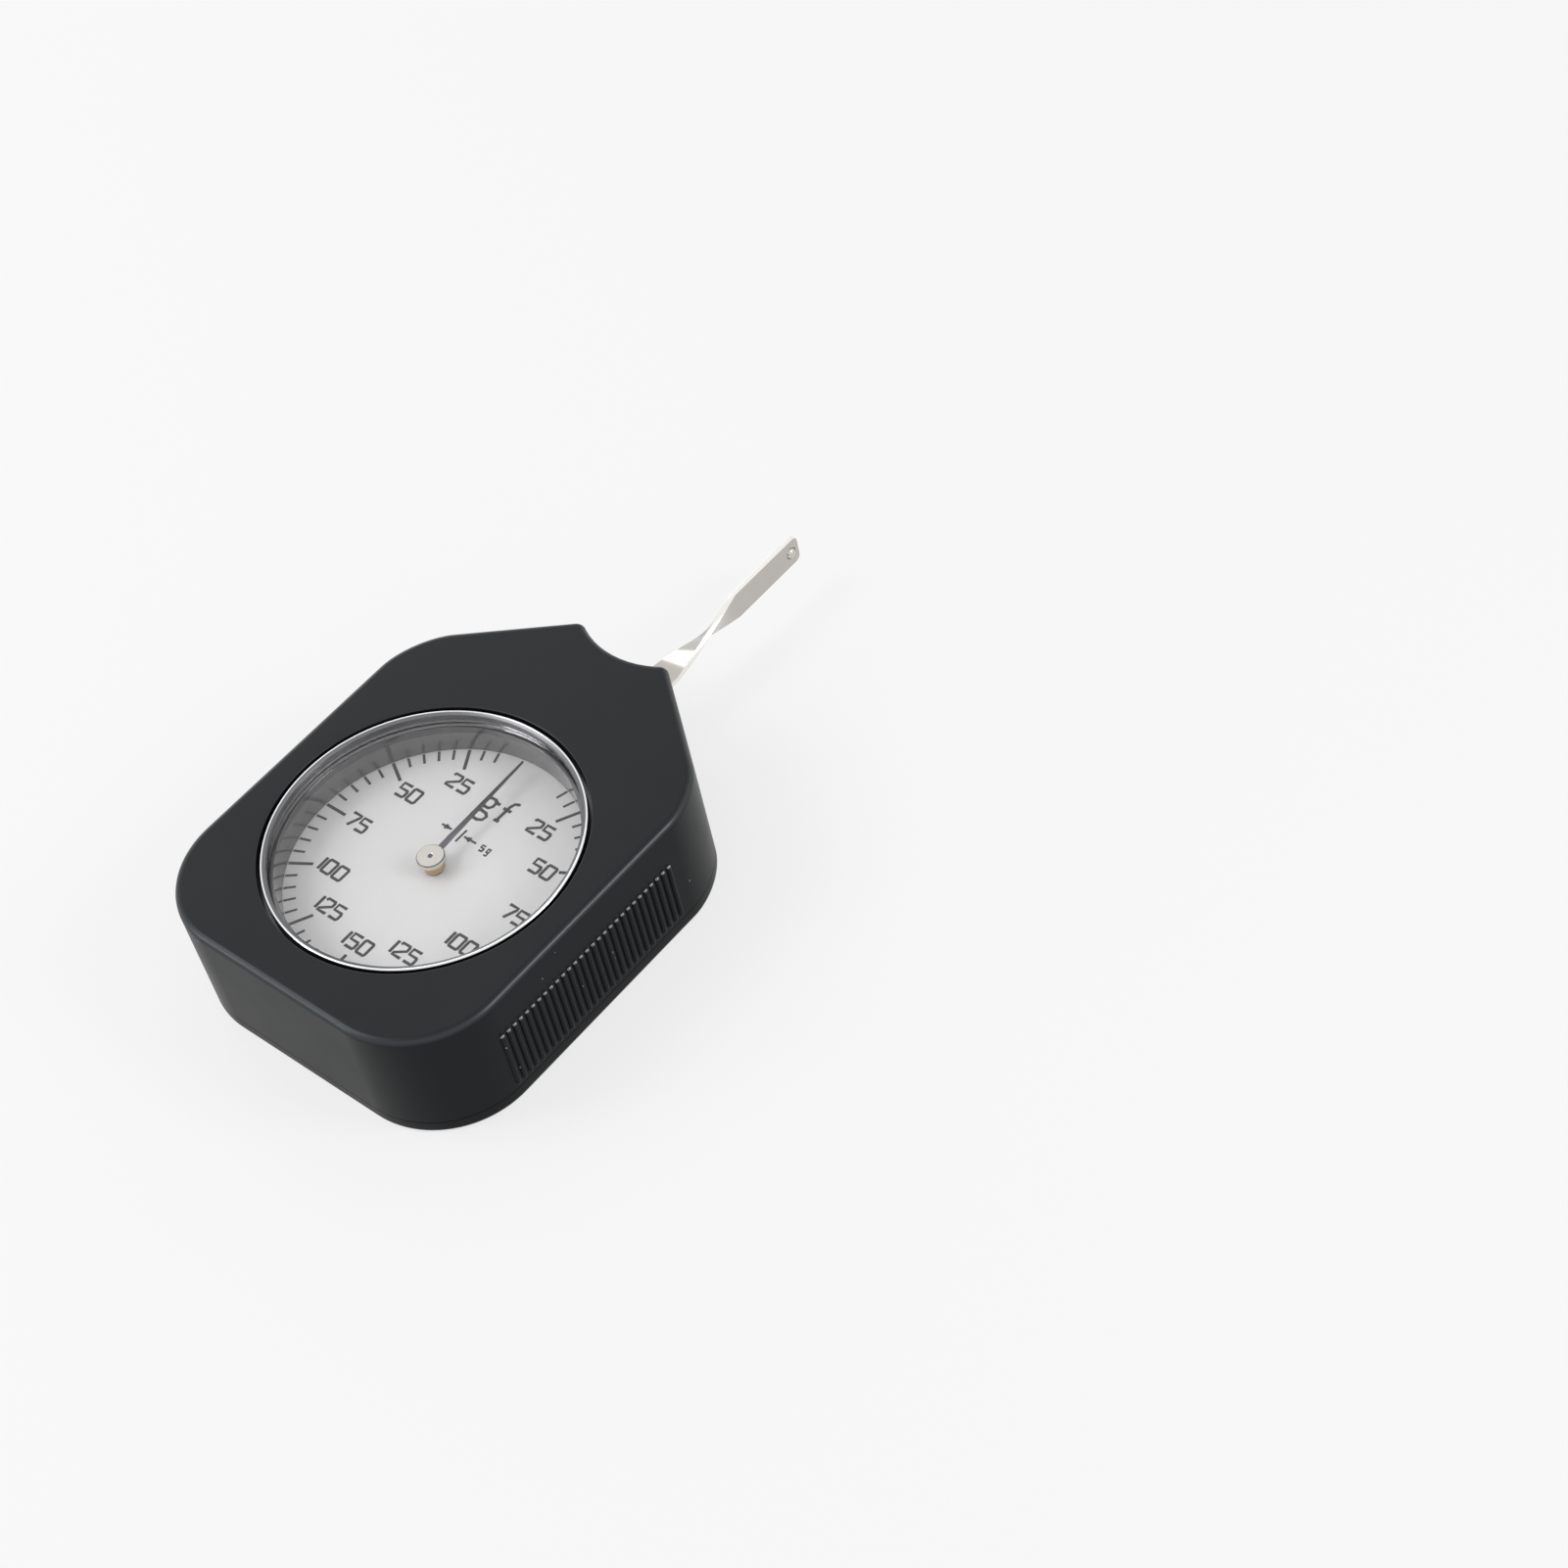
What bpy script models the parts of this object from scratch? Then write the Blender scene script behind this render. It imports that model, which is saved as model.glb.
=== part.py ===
"""Dial tension gauge lying on its back.

The dial faces +Z and the measuring arm points along +Y.  The origin is the
point of the flat back face that lies under the centre of the dial.  All
lengths are in metres and all angles in degrees.
"""
import math

import bmesh
import bpy
from mathutils import Matrix, Vector

# Clearances and facets

SEAT_GAP = 0.0001
HOUSING_GAP = 0.0003
RUNNING_GAP = 0.00005
CUT_OVERRUN = 0.001
MERGE_DISTANCE = 0.00001
CUT_DISTANCE = 0.000001
LARGE_STEPS = 56
MEDIUM_STEPS = 24
SMALL_STEPS = 12
ARC_STEP_DEG = 9.0
SMALL_ARC_STEP_DEG = 18.0
SMALL_ARC_RADIUS = 0.0050
RIM_ANGLE_DEG = 45.0
ROUND_CREASE_DEG = 35.0
RING_CREASE_DEG = 20.0
ARM_CREASE_DEG = 25.0

# Window, dial and gears

WINDOW_RADIUS = 0.0225
DIAL_DEPTH = 0.00755
DIAL_THICKNESS = 0.0008
LEVER_AXIS_ROOM = 0.0022
PINION_TEETH = 10
SECTOR_FULL_TEETH = 120
SECTOR_TEETH = 13
PRESSURE_ANGLE = 20.0
LEVER_SWING = 15.0

LEVER_AXIS_Y = WINDOW_RADIUS + LEVER_AXIS_ROOM
GEAR_MODULE = LEVER_AXIS_Y * 2 / (PINION_TEETH + SECTOR_FULL_TEETH)
PINION_PITCH_RADIUS = GEAR_MODULE * PINION_TEETH / 2
SECTOR_PITCH_RADIUS = GEAR_MODULE * SECTOR_FULL_TEETH / 2

# Small screws and rivets

SCREW_RADIUS = 0.0008
SCREW_HEAD_RADIUS = 0.0016
SCREW_HEAD_HEIGHT = 0.0008
SCREW_LENGTH = 0.0040
SCREW_TIP_ROOM = 0.0004
SLOT_WIDTH = 0.0004
SLOT_DEPTH = 0.0003
RIVET_RADIUS = 0.0006
RIVET_SPREAD = 0.0033
RIVET_HEAD_RADIUS = 0.0010
RIVET_HEAD_HEIGHT = 0.0003
RIVET_CROWN_SHARE = 0.7

# Lever: hub, arm and toothed sector

ARM_WIDTH = 0.0045
ARM_THICKNESS = 0.0008
ARM_REACH = 0.05145
ARM_EYE_RADIUS = 0.0046
ARM_EYE_FILLET_DEG = 24.0
ARM_NECK_Y = 0.0062
ARM_TWIST_START = 0.0222
ARM_TWIST_LENGTH = 0.0155
ARM_TWIST_DEG = 90.0
ARM_TWIST_STEPS = 12
ARM_TIP_RADIUS = 0.0006
BALL_RADIUS = 0.0009
BALL_SETBACK = 0.0016
BALL_RINGS = 10
HUB_FLANGE_RADIUS = 0.0046
HUB_FLANGE_THICKNESS = 0.0008
HUB_SPIGOT_RADIUS = 0.0019
HUB_FOOT_RADIUS = 0.0024
HUB_FOOT_DROP = 0.0004
SECTOR_THICKNESS = 0.0008
SECTOR_RIM = 0.0026
SECTOR_SPOKE_HUB_HALF = 0.0036
SECTOR_SPOKE_RIM_HALF = 0.0040
LEVER_ARBOR_RADIUS = 0.00115
LEVER_JOURNAL_RADIUS = 0.00085
COUNTERWEIGHT_RADIUS = 0.0030
COUNTERWEIGHT_HEIGHT = 0.0011
COUNTERWEIGHT_SHARE = 0.52

# Springs and their collets

COLLET_WALL = 0.0010
COLLET_HEIGHT = 0.0011
SPRING_WIDTH = 0.0009
SPRING_THICKNESS = 0.0002
SPRING_TURNS = 4.0
SPRING_PITCH = 0.0010
SPRING_END_DEG = 190.0
HAIRSPRING_WIDTH = 0.0005
HAIRSPRING_THICKNESS = 0.00012
HAIRSPRING_TURNS = 3.0
HAIRSPRING_PITCH = 0.0008
HAIRSPRING_END_DEG = -20.0
SPIRAL_STEPS = 16
STUD_RADIUS = 0.0007
STUD_ROOM = 0.0003

# Heights, from the flat back up through cover, plates and lever to the dial

COVER_THICKNESS = 0.0022
REAR_HEAD_ROOM = 0.00065
REAR_PLATE_THICKNESS = 0.0012
LEVER_FOOT_ROOM = 0.0006
RIVET_HEAD_ROOM = 0.000075
FRONT_PLATE_THICKNESS = 0.0013

SHELL_BOTTOM_Z = COVER_THICKNESS + SEAT_GAP
REAR_HEAD_Z = COVER_THICKNESS + REAR_HEAD_ROOM
REAR_PLATE_BOTTOM_Z = REAR_HEAD_Z + SCREW_HEAD_HEIGHT + SEAT_GAP / 2
REAR_PLATE_TOP_Z = REAR_PLATE_BOTTOM_Z + REAR_PLATE_THICKNESS
SECTOR_BOTTOM_Z = REAR_PLATE_TOP_Z + LEVER_FOOT_ROOM + HUB_FOOT_DROP
SECTOR_TOP_Z = SECTOR_BOTTOM_Z + SECTOR_THICKNESS
HUB_FLANGE_TOP_Z = SECTOR_TOP_Z + SEAT_GAP / 2 + HUB_FLANGE_THICKNESS
ARM_BOTTOM_Z = HUB_FLANGE_TOP_Z + SEAT_GAP / 2
ARM_LEVEL_Z = ARM_BOTTOM_Z + ARM_THICKNESS / 2
ARM_TOP_Z = ARM_BOTTOM_Z + ARM_THICKNESS
COLLET_ROOM = RIVET_HEAD_HEIGHT + RIVET_HEAD_ROOM
SPRING_LEVEL_Z = ARM_TOP_Z + COLLET_ROOM + COLLET_HEIGHT / 2
FRONT_PLATE_BOTTOM_Z = SPRING_LEVEL_Z + COLLET_HEIGHT / 2 + COLLET_ROOM
FRONT_PLATE_TOP_Z = FRONT_PLATE_BOTTOM_Z + FRONT_PLATE_THICKNESS
DIAL_BOTTOM_Z = FRONT_PLATE_TOP_Z + SEAT_GAP
DIAL_TOP_Z = DIAL_BOTTOM_Z + DIAL_THICKNESS
BODY_DEPTH = DIAL_TOP_Z + DIAL_DEPTH

# Moulded body

SIDE_MARGIN = 0.0048
HEEL_MARGIN = 0.0067
SIDE_WALL = 0.0020
TOP_WALL = 0.0022
END_WALL = 0.0026
HEEL_RADIUS_SHARE = 0.62667
SHOULDER_RADIUS_SHARE = 0.57778
NOSE_RADIUS = 0.0014
NOSE_CHEEK = 0.000976
SCALLOP_DEPTH = 0.0023
SHOULDER_DROP = 0.0153
LEVER_END_ROOM = 0.0115
TOP_FILLET = 0.0011
TOP_FILLET_SEGMENTS = 3
COVER_FILLET = 0.0008
COVER_FILLET_SEGMENTS = 2
SLOT_SIDE_ROOM = 0.0002
SLOT_TOP_ROOM = 0.0012

ARM_SLOT_HALF = (
    (LEVER_END_ROOM + END_WALL + SCALLOP_DEPTH) * math.tan(math.radians(LEVER_SWING))
    + ARM_WIDTH / 2 / math.cos(math.radians(LEVER_SWING)) + SLOT_SIDE_ROOM
)
BODY_HALF_WIDTH = WINDOW_RADIUS + SIDE_MARGIN
NOSE_HALF_WIDTH = ARM_SLOT_HALF + NOSE_CHEEK
HEEL_RADIUS = WINDOW_RADIUS * HEEL_RADIUS_SHARE
SHOULDER_RADIUS = WINDOW_RADIUS * SHOULDER_RADIUS_SHARE
HEEL_Y = -(WINDOW_RADIUS + HEEL_MARGIN)
CAVITY_END_Y = LEVER_AXIS_Y + LEVER_END_ROOM
SCALLOP_Y = CAVITY_END_Y + END_WALL
NOSE_Y = SCALLOP_Y + SCALLOP_DEPTH
SHOULDER_Y = NOSE_Y - SHOULDER_DROP
CEILING_Z = BODY_DEPTH - TOP_WALL

# Grip ribs along the straight part of both sides

RIB_COUNT = 29
RIB_RADIUS = 0.00042
RIB_SINK = 0.00006
RIB_TOP_DEPTH = 0.0063
RIB_FOOT_ROOM = 0.0008
RIB_END_SLOPE = 0.00022
RIB_HEEL_OVERRUN = 0.0006
RIB_SHOULDER_ROOM = 0.0022
RIB_SIDES = 6

# Polished bezel, crystal and the ring that holds the dial down

BEZEL_SINK = 0.0007
BEZEL_WALL = 0.00025
BEZEL_LIP = 0.00035
BEZEL_LAND = 0.00012
BEZEL_SLOPE_DROP = 0.00035
BEZEL_LIP_EDGE = 0.00015
BEZEL_FLANGE_REACH = 0.00175
BEZEL_FLANGE_THICKNESS = 0.0009
BEZEL_SKIRT_WALL = 0.0007
CRYSTAL_THICKNESS = 0.0015
CRYSTAL_CHAMFER = 0.00015
SPACER_WALL = 0.0008

BEZEL_RADIUS = WINDOW_RADIUS - HOUSING_GAP
BEZEL_BORE = BEZEL_RADIUS - BEZEL_WALL
BEZEL_TOP_Z = BODY_DEPTH - BEZEL_SINK
LIP_UNDERSIDE_Z = BEZEL_TOP_Z - BEZEL_SLOPE_DROP - BEZEL_LIP_EDGE
FLANGE_TOP_Z = CEILING_Z - HOUSING_GAP
FLANGE_RADIUS = BEZEL_RADIUS + BEZEL_FLANGE_REACH
SKIRT_RADIUS = BEZEL_BORE + BEZEL_SKIRT_WALL
CRYSTAL_RADIUS = BEZEL_BORE - SEAT_GAP
CRYSTAL_TOP_Z = LIP_UNDERSIDE_Z - SEAT_GAP / 2
CRYSTAL_BOTTOM_Z = CRYSTAL_TOP_Z - CRYSTAL_THICKNESS
SPACER_RADIUS = BEZEL_BORE - SEAT_GAP
SPACER_BORE = SPACER_RADIUS - SPACER_WALL
DIAL_RADIUS = SKIRT_RADIUS
DIAL_HOLE_RADIUS = 0.0013
DIAL_FOOT_RADIUS = 0.0006
DIAL_FOOT_DISTANCE_SHARE = 0.55
DIAL_FOOT_ANGLES = (150.0, 30.0)

# Movement plates

PLATE_EDGE = 0.0019
PLATE_SIDE_EDGE_SHARE = 0.25
PLATE_HEEL_EDGE_SHARE = 1.25
BRIDGE_EDGE_SHARE = 0.3333
BRIDGE_CORNER_SHARE = 0.9
PLATE_CORNER_RADIUS = 0.0040
PLATE_TOP_CORNER_RADIUS = 0.0020
BRIDGE_HALF_WIDTH = 0.0055
BRIDGE_FILLET = 0.0020

# Bosses moulded inside the body and the screws that enter them

COVER_BOSS_RADIUS = 0.0024
COVER_BOSS_ROOM = 0.0013
COVER_BOSS_RECESS = 0.0002
MOVEMENT_BOSS_RADIUS = 0.0022
MOVEMENT_BOSS_ROOM = 0.0002
MOVEMENT_BOSS_ANGLE = 37.5
UPPER_BOSS_X = 0.0135
UPPER_BOSS_LIFT = 0.0028
PILOT_RADIUS = 0.0009
PILOT_DEPTH = 0.0050
COVER_SCREW_HEAD_RADIUS = 0.0021
COVER_SCREW_CONE = 0.0012
COVER_SCREW_SINK = 0.00022
COVER_SCREW_POINT = 0.0004
COVER_SCREW_POINT_SHARE = 0.75

# Pillars between the plates

PILLAR_RADIUS = 0.0018
PILLAR_SPIGOT_RADIUS = 0.0011
LOWER_PILLAR_X_SHARE = 0.6
LOWER_PILLAR_DROP_SHARE = 0.267
UPPER_PILLAR_X = 0.0095
UPPER_PILLAR_LIFT = 0.0065

LOWER_PILLAR_X = WINDOW_RADIUS * LOWER_PILLAR_X_SHARE
LOWER_PILLAR_DROP = WINDOW_RADIUS * LOWER_PILLAR_DROP_SHARE

# Pointer: arbor, pinion, needle and cap

POINTER_ARBOR_RADIUS = 0.00075
POINTER_JOURNAL_RADIUS = 0.0005
POINTER_END_RADIUS = 0.0003
PINION_LENGTH = 0.0018
NEEDLE_END_ROOM = 0.0015
NEEDLE_ROOT_WIDTH = 0.0010
NEEDLE_TIP_WIDTH = 0.00030
NEEDLE_KNEE_SHARE = 0.68
NEEDLE_REST_ANGLE = 2.3
NEEDLE_THICKNESS = 0.0002
NEEDLE_EYE_RADIUS = 0.0015
BOSS_RADIUS = 0.0015
BOSS_LIFT = 0.0003
BOSS_HEIGHT = 0.00185
CAP_RADIUS = 0.0020
CAP_HEIGHT = 0.00085
CAP_ROOF = 0.0003
CAP_WALL = 0.0003
CAP_EDGE = 0.00012
CAP_DIMPLE = 0.00015

NEEDLE_REACH = SPACER_BORE - NEEDLE_END_ROOM
BOSS_TOP_Z = DIAL_TOP_Z + BOSS_LIFT + BOSS_HEIGHT
NEEDLE_FOOT_Z = BOSS_TOP_Z + SEAT_GAP / 2
NEEDLE_TOP_Z = NEEDLE_FOOT_Z + NEEDLE_THICKNESS
CAP_ROOF_Z = NEEDLE_TOP_Z + SEAT_GAP / 2
CAP_TOP_Z = CAP_ROOF_Z + CAP_ROOF

# Bushes and stop pins

BUSH_WALL = 0.0010
STOP_PIN_RADIUS = 0.0008
STOP_PIN_DISTANCE = 0.0080
STOP_GAP = 0.00012

# Gear tooth proportions, in modules

PROFILE_SHIFT_SHARE = 0.41
DEDENDUM_SHARE = 1.25
BACKLASH = 0.00010
FLANK_POINTS = 4

# Finishes: colour, roughness, metallic

BLACK_PLASTIC = ((0.035, 0.036, 0.038), 0.42, 0.0)
POLISHED_STEEL = ((0.86, 0.85, 0.83), 0.12, 1.0)
SATIN_STEEL = ((0.55, 0.55, 0.54), 0.32, 1.0)
BLUED_STEEL = ((0.035, 0.035, 0.045), 0.30, 0.6)
BRASS = ((0.78, 0.58, 0.28), 0.28, 1.0)
NICKEL = ((0.80, 0.77, 0.72), 0.18, 1.0)
DIAL_SILVER = ((0.74, 0.75, 0.76), 0.38, 0.2)
CLEAR_ACRYLIC = ((0.95, 0.97, 0.97), 0.03, 0.0)
BRONZE = ((0.62, 0.42, 0.22), 0.35, 1.0)


# Scene and object helpers

def clear_scene():
    """Remove every object that the file opened with."""
    for old in list(bpy.data.objects):
        bpy.data.objects.remove(old, do_unlink=True)


def new_collection(name):
    """Return a new collection linked to the scene."""
    collection = bpy.data.collections.new(name)
    bpy.context.scene.collection.children.link(collection)
    return collection


def add_finish(obj, finish):
    """Give the object its own Principled material."""
    colour, roughness, metallic = finish
    material = bpy.data.materials.new(obj.name + "_finish")
    material.use_nodes = True
    shader = material.node_tree.nodes["Principled BSDF"]
    shader.inputs["Base Color"].default_value = (*colour, 1.0)
    shader.inputs["Roughness"].default_value = roughness
    shader.inputs["Metallic"].default_value = metallic
    material.diffuse_color = (*colour, 1.0)
    obj.data.materials.clear()
    obj.data.materials.append(material)


def add_empty(name, location, collection):
    """Mark a joint axis with an empty that carries its moving pieces."""
    empty = bpy.data.objects.new(name, None)
    empty.location = location
    collection.objects.link(empty)
    return empty


def mesh_object(name, mesh, collection, parent=None):
    """Link a mesh as a new object, on its parent's axis if it has one."""
    obj = bpy.data.objects.new(name, mesh)
    obj.parent = parent
    collection.objects.link(obj)
    return obj


def shade_round(obj, crease_deg=ROUND_CREASE_DEG):
    """Smooth shading that keeps the real edges sharp."""
    obj.data.shade_smooth()
    obj.data.set_sharp_from_angle(angle=math.radians(crease_deg))


def evaluated_copy(obj):
    """Return the object's mesh with its modifiers applied."""
    bpy.context.view_layer.update()
    graph = bpy.context.evaluated_depsgraph_get()
    return bpy.data.meshes.new_from_object(obj.evaluated_get(graph))


def apply_modifiers(obj):
    """Replace the object's mesh by its evaluated one."""
    mesh = evaluated_copy(obj)
    obj.modifiers.clear()
    obj.data = mesh


def as_cutter(obj, cutters):
    """Hide a helper solid and keep it with the cutters."""
    for collection in list(obj.users_collection):
        collection.objects.unlink(obj)
    cutters.objects.link(obj)
    obj.hide_render = True
    obj.display_type = "WIRE"
    return obj


def combine(target, other, operation, cutters):
    """Cut from, or join to, the target with an exact Boolean."""
    as_cutter(other, cutters)
    modifier = target.modifiers.new(other.name, "BOOLEAN")
    modifier.operation = operation
    modifier.solver = "EXACT"
    modifier.object = other


# Outlines in the XY plane

def polar(radius, angle_deg, centre=(0.0, 0.0)):
    """A point at a radius and an angle counted from +X."""
    angle = math.radians(angle_deg)
    return (centre[0] + radius * math.cos(angle), centre[1] + radius * math.sin(angle))


def arc(centre, radius, start_deg, end_deg):
    """Points along an arc, both ends included."""
    step = SMALL_ARC_STEP_DEG if radius < SMALL_ARC_RADIUS else ARC_STEP_DEG
    steps = max(2, math.ceil(abs(end_deg - start_deg) / step))
    turn = (end_deg - start_deg) / steps
    return [polar(radius, start_deg + turn * i, centre) for i in range(steps + 1)]


def circle(centre, radius, steps):
    """Points round a full circle."""
    return [polar(radius, 360.0 * i / steps, centre) for i in range(steps)]


def corner_round(before, corner, after, radius):
    """Centre, start angle and sweep of the arc that rounds one corner of a path."""
    corner = Vector(corner)
    to_before = (Vector(before) - corner).normalized()
    to_after = (Vector(after) - corner).normalized()
    half_angle = to_before.angle(to_after) / 2
    reach = radius / math.tan(half_angle)
    first = corner + to_before * reach
    last = corner + to_after * reach
    bisector = (to_before + to_after).normalized()
    centre = corner + bisector * (radius / math.sin(half_angle))
    start = math.degrees(math.atan2(first.y - centre.y, first.x - centre.x))
    end = math.degrees(math.atan2(last.y - centre.y, last.x - centre.x))
    sweep = (end - start + 180.0) % 360.0 - 180.0
    return (centre.x, centre.y), start, sweep


def round_corner(before, corner, after, radius):
    """Points of the arc that rounds one corner of a path."""
    centre, start, sweep = corner_round(before, corner, after, radius)
    return arc(centre, radius, start, start + sweep)


def rounded_path(corners):
    """Closed outline from corners given as (x, y, radius)."""
    points = []
    for index, (x, y, radius) in enumerate(corners):
        before = corners[index - 1][:2]
        after = corners[(index + 1) % len(corners)][:2]
        if radius:
            points.extend(round_corner(before, (x, y), after, radius))
        else:
            points.append((x, y))
    return points


def with_mirror(half):
    """Complete a right half, listed upwards from the axis, with its mirror."""
    left = [(-x, y) for x, y in reversed(half) if abs(x) > MERGE_DISTANCE]
    return half + left


# Solids

def flat_solid(name, outlines, bottom_z, thickness, collection, parent=None):
    """Extrude flat outlines; the outlines after the first one are holes."""
    curve = bpy.data.curves.new(name, "CURVE")
    curve.dimensions = "2D"
    curve.fill_mode = "BOTH"
    curve.extrude = thickness / 2
    for outline in outlines:
        spline = curve.splines.new("POLY")
        spline.points.add(len(outline) - 1)
        for point, (x, y) in zip(spline.points, outline):
            point.co = (x, y, 0.0, 1.0)
        spline.use_cyclic_u = True
    shape = bpy.data.objects.new(name + "_outline", curve)
    bpy.context.scene.collection.objects.link(shape)
    mesh = evaluated_copy(shape)
    bpy.data.objects.remove(shape)
    clean = bmesh.new()
    clean.from_mesh(mesh)
    bmesh.ops.remove_doubles(clean, verts=clean.verts, dist=MERGE_DISTANCE)
    bmesh.ops.translate(clean, verts=clean.verts, vec=(0.0, 0.0, bottom_z + thickness / 2))
    bmesh.ops.recalc_face_normals(clean, faces=clean.faces)
    clean.to_mesh(mesh)
    clean.free()
    mesh.name = name
    return mesh_object(name, mesh, collection, parent)


def turned_solid(name, profile, steps, collection, parent=None, closed=False):
    """Turn a profile of (radius, z) about Z, its outer side listed downwards."""
    mesh = bpy.data.meshes.new(name)
    edges = [(i, i + 1) for i in range(len(profile) - 1)]
    if closed:
        edges.append((len(profile) - 1, 0))
    mesh.from_pydata([(radius, 0.0, z) for radius, z in profile], edges, [])
    obj = mesh_object(name, mesh, collection, parent)
    screw = obj.modifiers.new("turn", "SCREW")
    screw.axis = "Z"
    screw.angle = math.radians(360.0)
    screw.steps = steps
    screw.render_steps = steps
    screw.use_merge_vertices = True
    screw.merge_threshold = MERGE_DISTANCE
    apply_modifiers(obj)
    return obj


def tube_profile(outer, bore, top_z, bottom_z):
    """Closed profile of a plain tube."""
    return [(outer, top_z), (outer, bottom_z), (bore, bottom_z), (bore, top_z)]


def rod_profile(stations, top_z, bottom_z):
    """Profile of a solid rod; the stations between its ends are (radius, z)."""
    return [(0.0, top_z)] + stations + [(0.0, bottom_z)]


def cylinder(name, radius, bottom_z, top_z, steps, collection, centre=(0.0, 0.0)):
    """An upright cylinder."""
    shape = bmesh.new()
    bmesh.ops.create_cone(
        shape, cap_ends=True, segments=steps, radius1=radius, radius2=radius, depth=top_z - bottom_z
    )
    middle = (centre[0], centre[1], (top_z + bottom_z) / 2)
    bmesh.ops.translate(shape, verts=shape.verts, vec=middle)
    mesh = bpy.data.meshes.new(name)
    shape.to_mesh(mesh)
    shape.free()
    return mesh_object(name, mesh, collection)


def box(name, low, high, collection):
    """A box between its lowest and highest corners."""
    shape = bmesh.new()
    bmesh.ops.create_cube(shape, size=1.0)
    size = [b - a for a, b in zip(low, high)]
    middle = [(a + b) / 2 for a, b in zip(low, high)]
    bmesh.ops.scale(shape, verts=shape.verts, vec=size)
    bmesh.ops.translate(shape, verts=shape.verts, vec=middle)
    mesh = bpy.data.meshes.new(name)
    shape.to_mesh(mesh)
    shape.free()
    return mesh_object(name, mesh, collection)


def grouped_copies(name, original, places, collection):
    """One helper solid that holds a copy of the original at each (x, y) place."""
    group = bmesh.new()
    for x, y in places:
        first_new = len(group.verts)
        group.from_mesh(original.data)
        group.verts.ensure_lookup_table()
        bmesh.ops.translate(group, verts=group.verts[first_new:], vec=(x, y, 0.0))
    mesh = bpy.data.meshes.new(name)
    group.to_mesh(mesh)
    group.free()
    bpy.data.objects.remove(original)
    return mesh_object(name, mesh, collection)


def place_copies(original, places, collection, parent=None):
    """Pieces numbered from 1 that share the original's mesh, one at each (x, y) place."""
    for number, (x, y) in enumerate(places, start=1):
        copy = mesh_object(f"{original.name}_{number}", original.data, collection, parent)
        copy.location = (x, y, 0.0)
    bpy.data.objects.remove(original)


def bevel_rim(obj, rim_z, width, segments):
    """Round the outer edge loop that lies at one height of an extruded solid."""
    shape = bmesh.new()
    shape.from_mesh(obj.data)
    rim = [
        edge for edge in shape.edges
        if all(abs(v.co.z - rim_z) < MERGE_DISTANCE for v in edge.verts)
        and len(edge.link_faces) == 2
        and edge.calc_face_angle() > math.radians(RIM_ANGLE_DEG)
    ]
    bmesh.ops.bevel(shape, geom=rim, offset=width, segments=segments, profile=0.5,
                    affect="EDGES", material=-1)
    shape.to_mesh(obj.data)
    shape.free()


# Where things stand

def shoulder_direction():
    """Unit normal of the right shoulder edge, pointing out of the body."""
    along = Vector((NOSE_HALF_WIDTH - BODY_HALF_WIDTH, NOSE_Y - SHOULDER_Y)).normalized()
    return Vector((along.y, -along.x))


def heel_round():
    """Centre, start angle and sweep of the right rounding at the heel."""
    corner = (BODY_HALF_WIDTH, HEEL_Y)
    return corner_round((0.0, HEEL_Y), corner, (BODY_HALF_WIDTH, 0.0), HEEL_RADIUS)


def shoulder_round():
    """Centre, start angle and sweep of the right rounding at the shoulder."""
    corner = (BODY_HALF_WIDTH, SHOULDER_Y)
    nose = (NOSE_HALF_WIDTH, NOSE_Y)
    return corner_round((BODY_HALF_WIDTH, 0.0), corner, nose, SHOULDER_RADIUS)


def cover_boss_places():
    """Bosses for the cover screws, tucked into the four roundings of the wall."""
    places = []
    roundings = ((heel_round(), HEEL_RADIUS), (shoulder_round(), SHOULDER_RADIUS))
    for (centre, start, sweep), radius in roundings:
        reach = radius - SIDE_WALL - COVER_BOSS_ROOM
        places.append(polar(reach, start + sweep / 2, centre))
    return places + [(-x, y) for x, y in places]


def movement_boss_places():
    """Bosses that carry the front plate, outside the bezel flange."""
    reach = FLANGE_RADIUS + MOVEMENT_BOSS_RADIUS + MOVEMENT_BOSS_ROOM
    lower = polar(reach, MOVEMENT_BOSS_ANGLE - 90.0)
    upper = (UPPER_BOSS_X, LEVER_AXIS_Y + UPPER_BOSS_LIFT)
    places = [lower, upper]
    return places + [(-x, y) for x, y in places]


def pillar_places():
    """Pillars that hold the two plates apart, clear of the moving lever."""
    places = [
        (LOWER_PILLAR_X, -LOWER_PILLAR_DROP),
        (UPPER_PILLAR_X, LEVER_AXIS_Y + UPPER_PILLAR_LIFT),
    ]
    return places + [(-x, y) for x, y in places]


def stop_pin_places():
    """Pins that the arm meets just past each end of its swing."""
    touch = (ARM_WIDTH / 2 + STOP_PIN_RADIUS + STOP_GAP) / STOP_PIN_DISTANCE
    angle = LEVER_SWING + math.degrees(math.asin(touch))
    x, y = polar(STOP_PIN_DISTANCE, 90.0 - angle, (0.0, LEVER_AXIS_Y))
    return [(x, y), (-x, y)]


# Moulded body and rear cover

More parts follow.
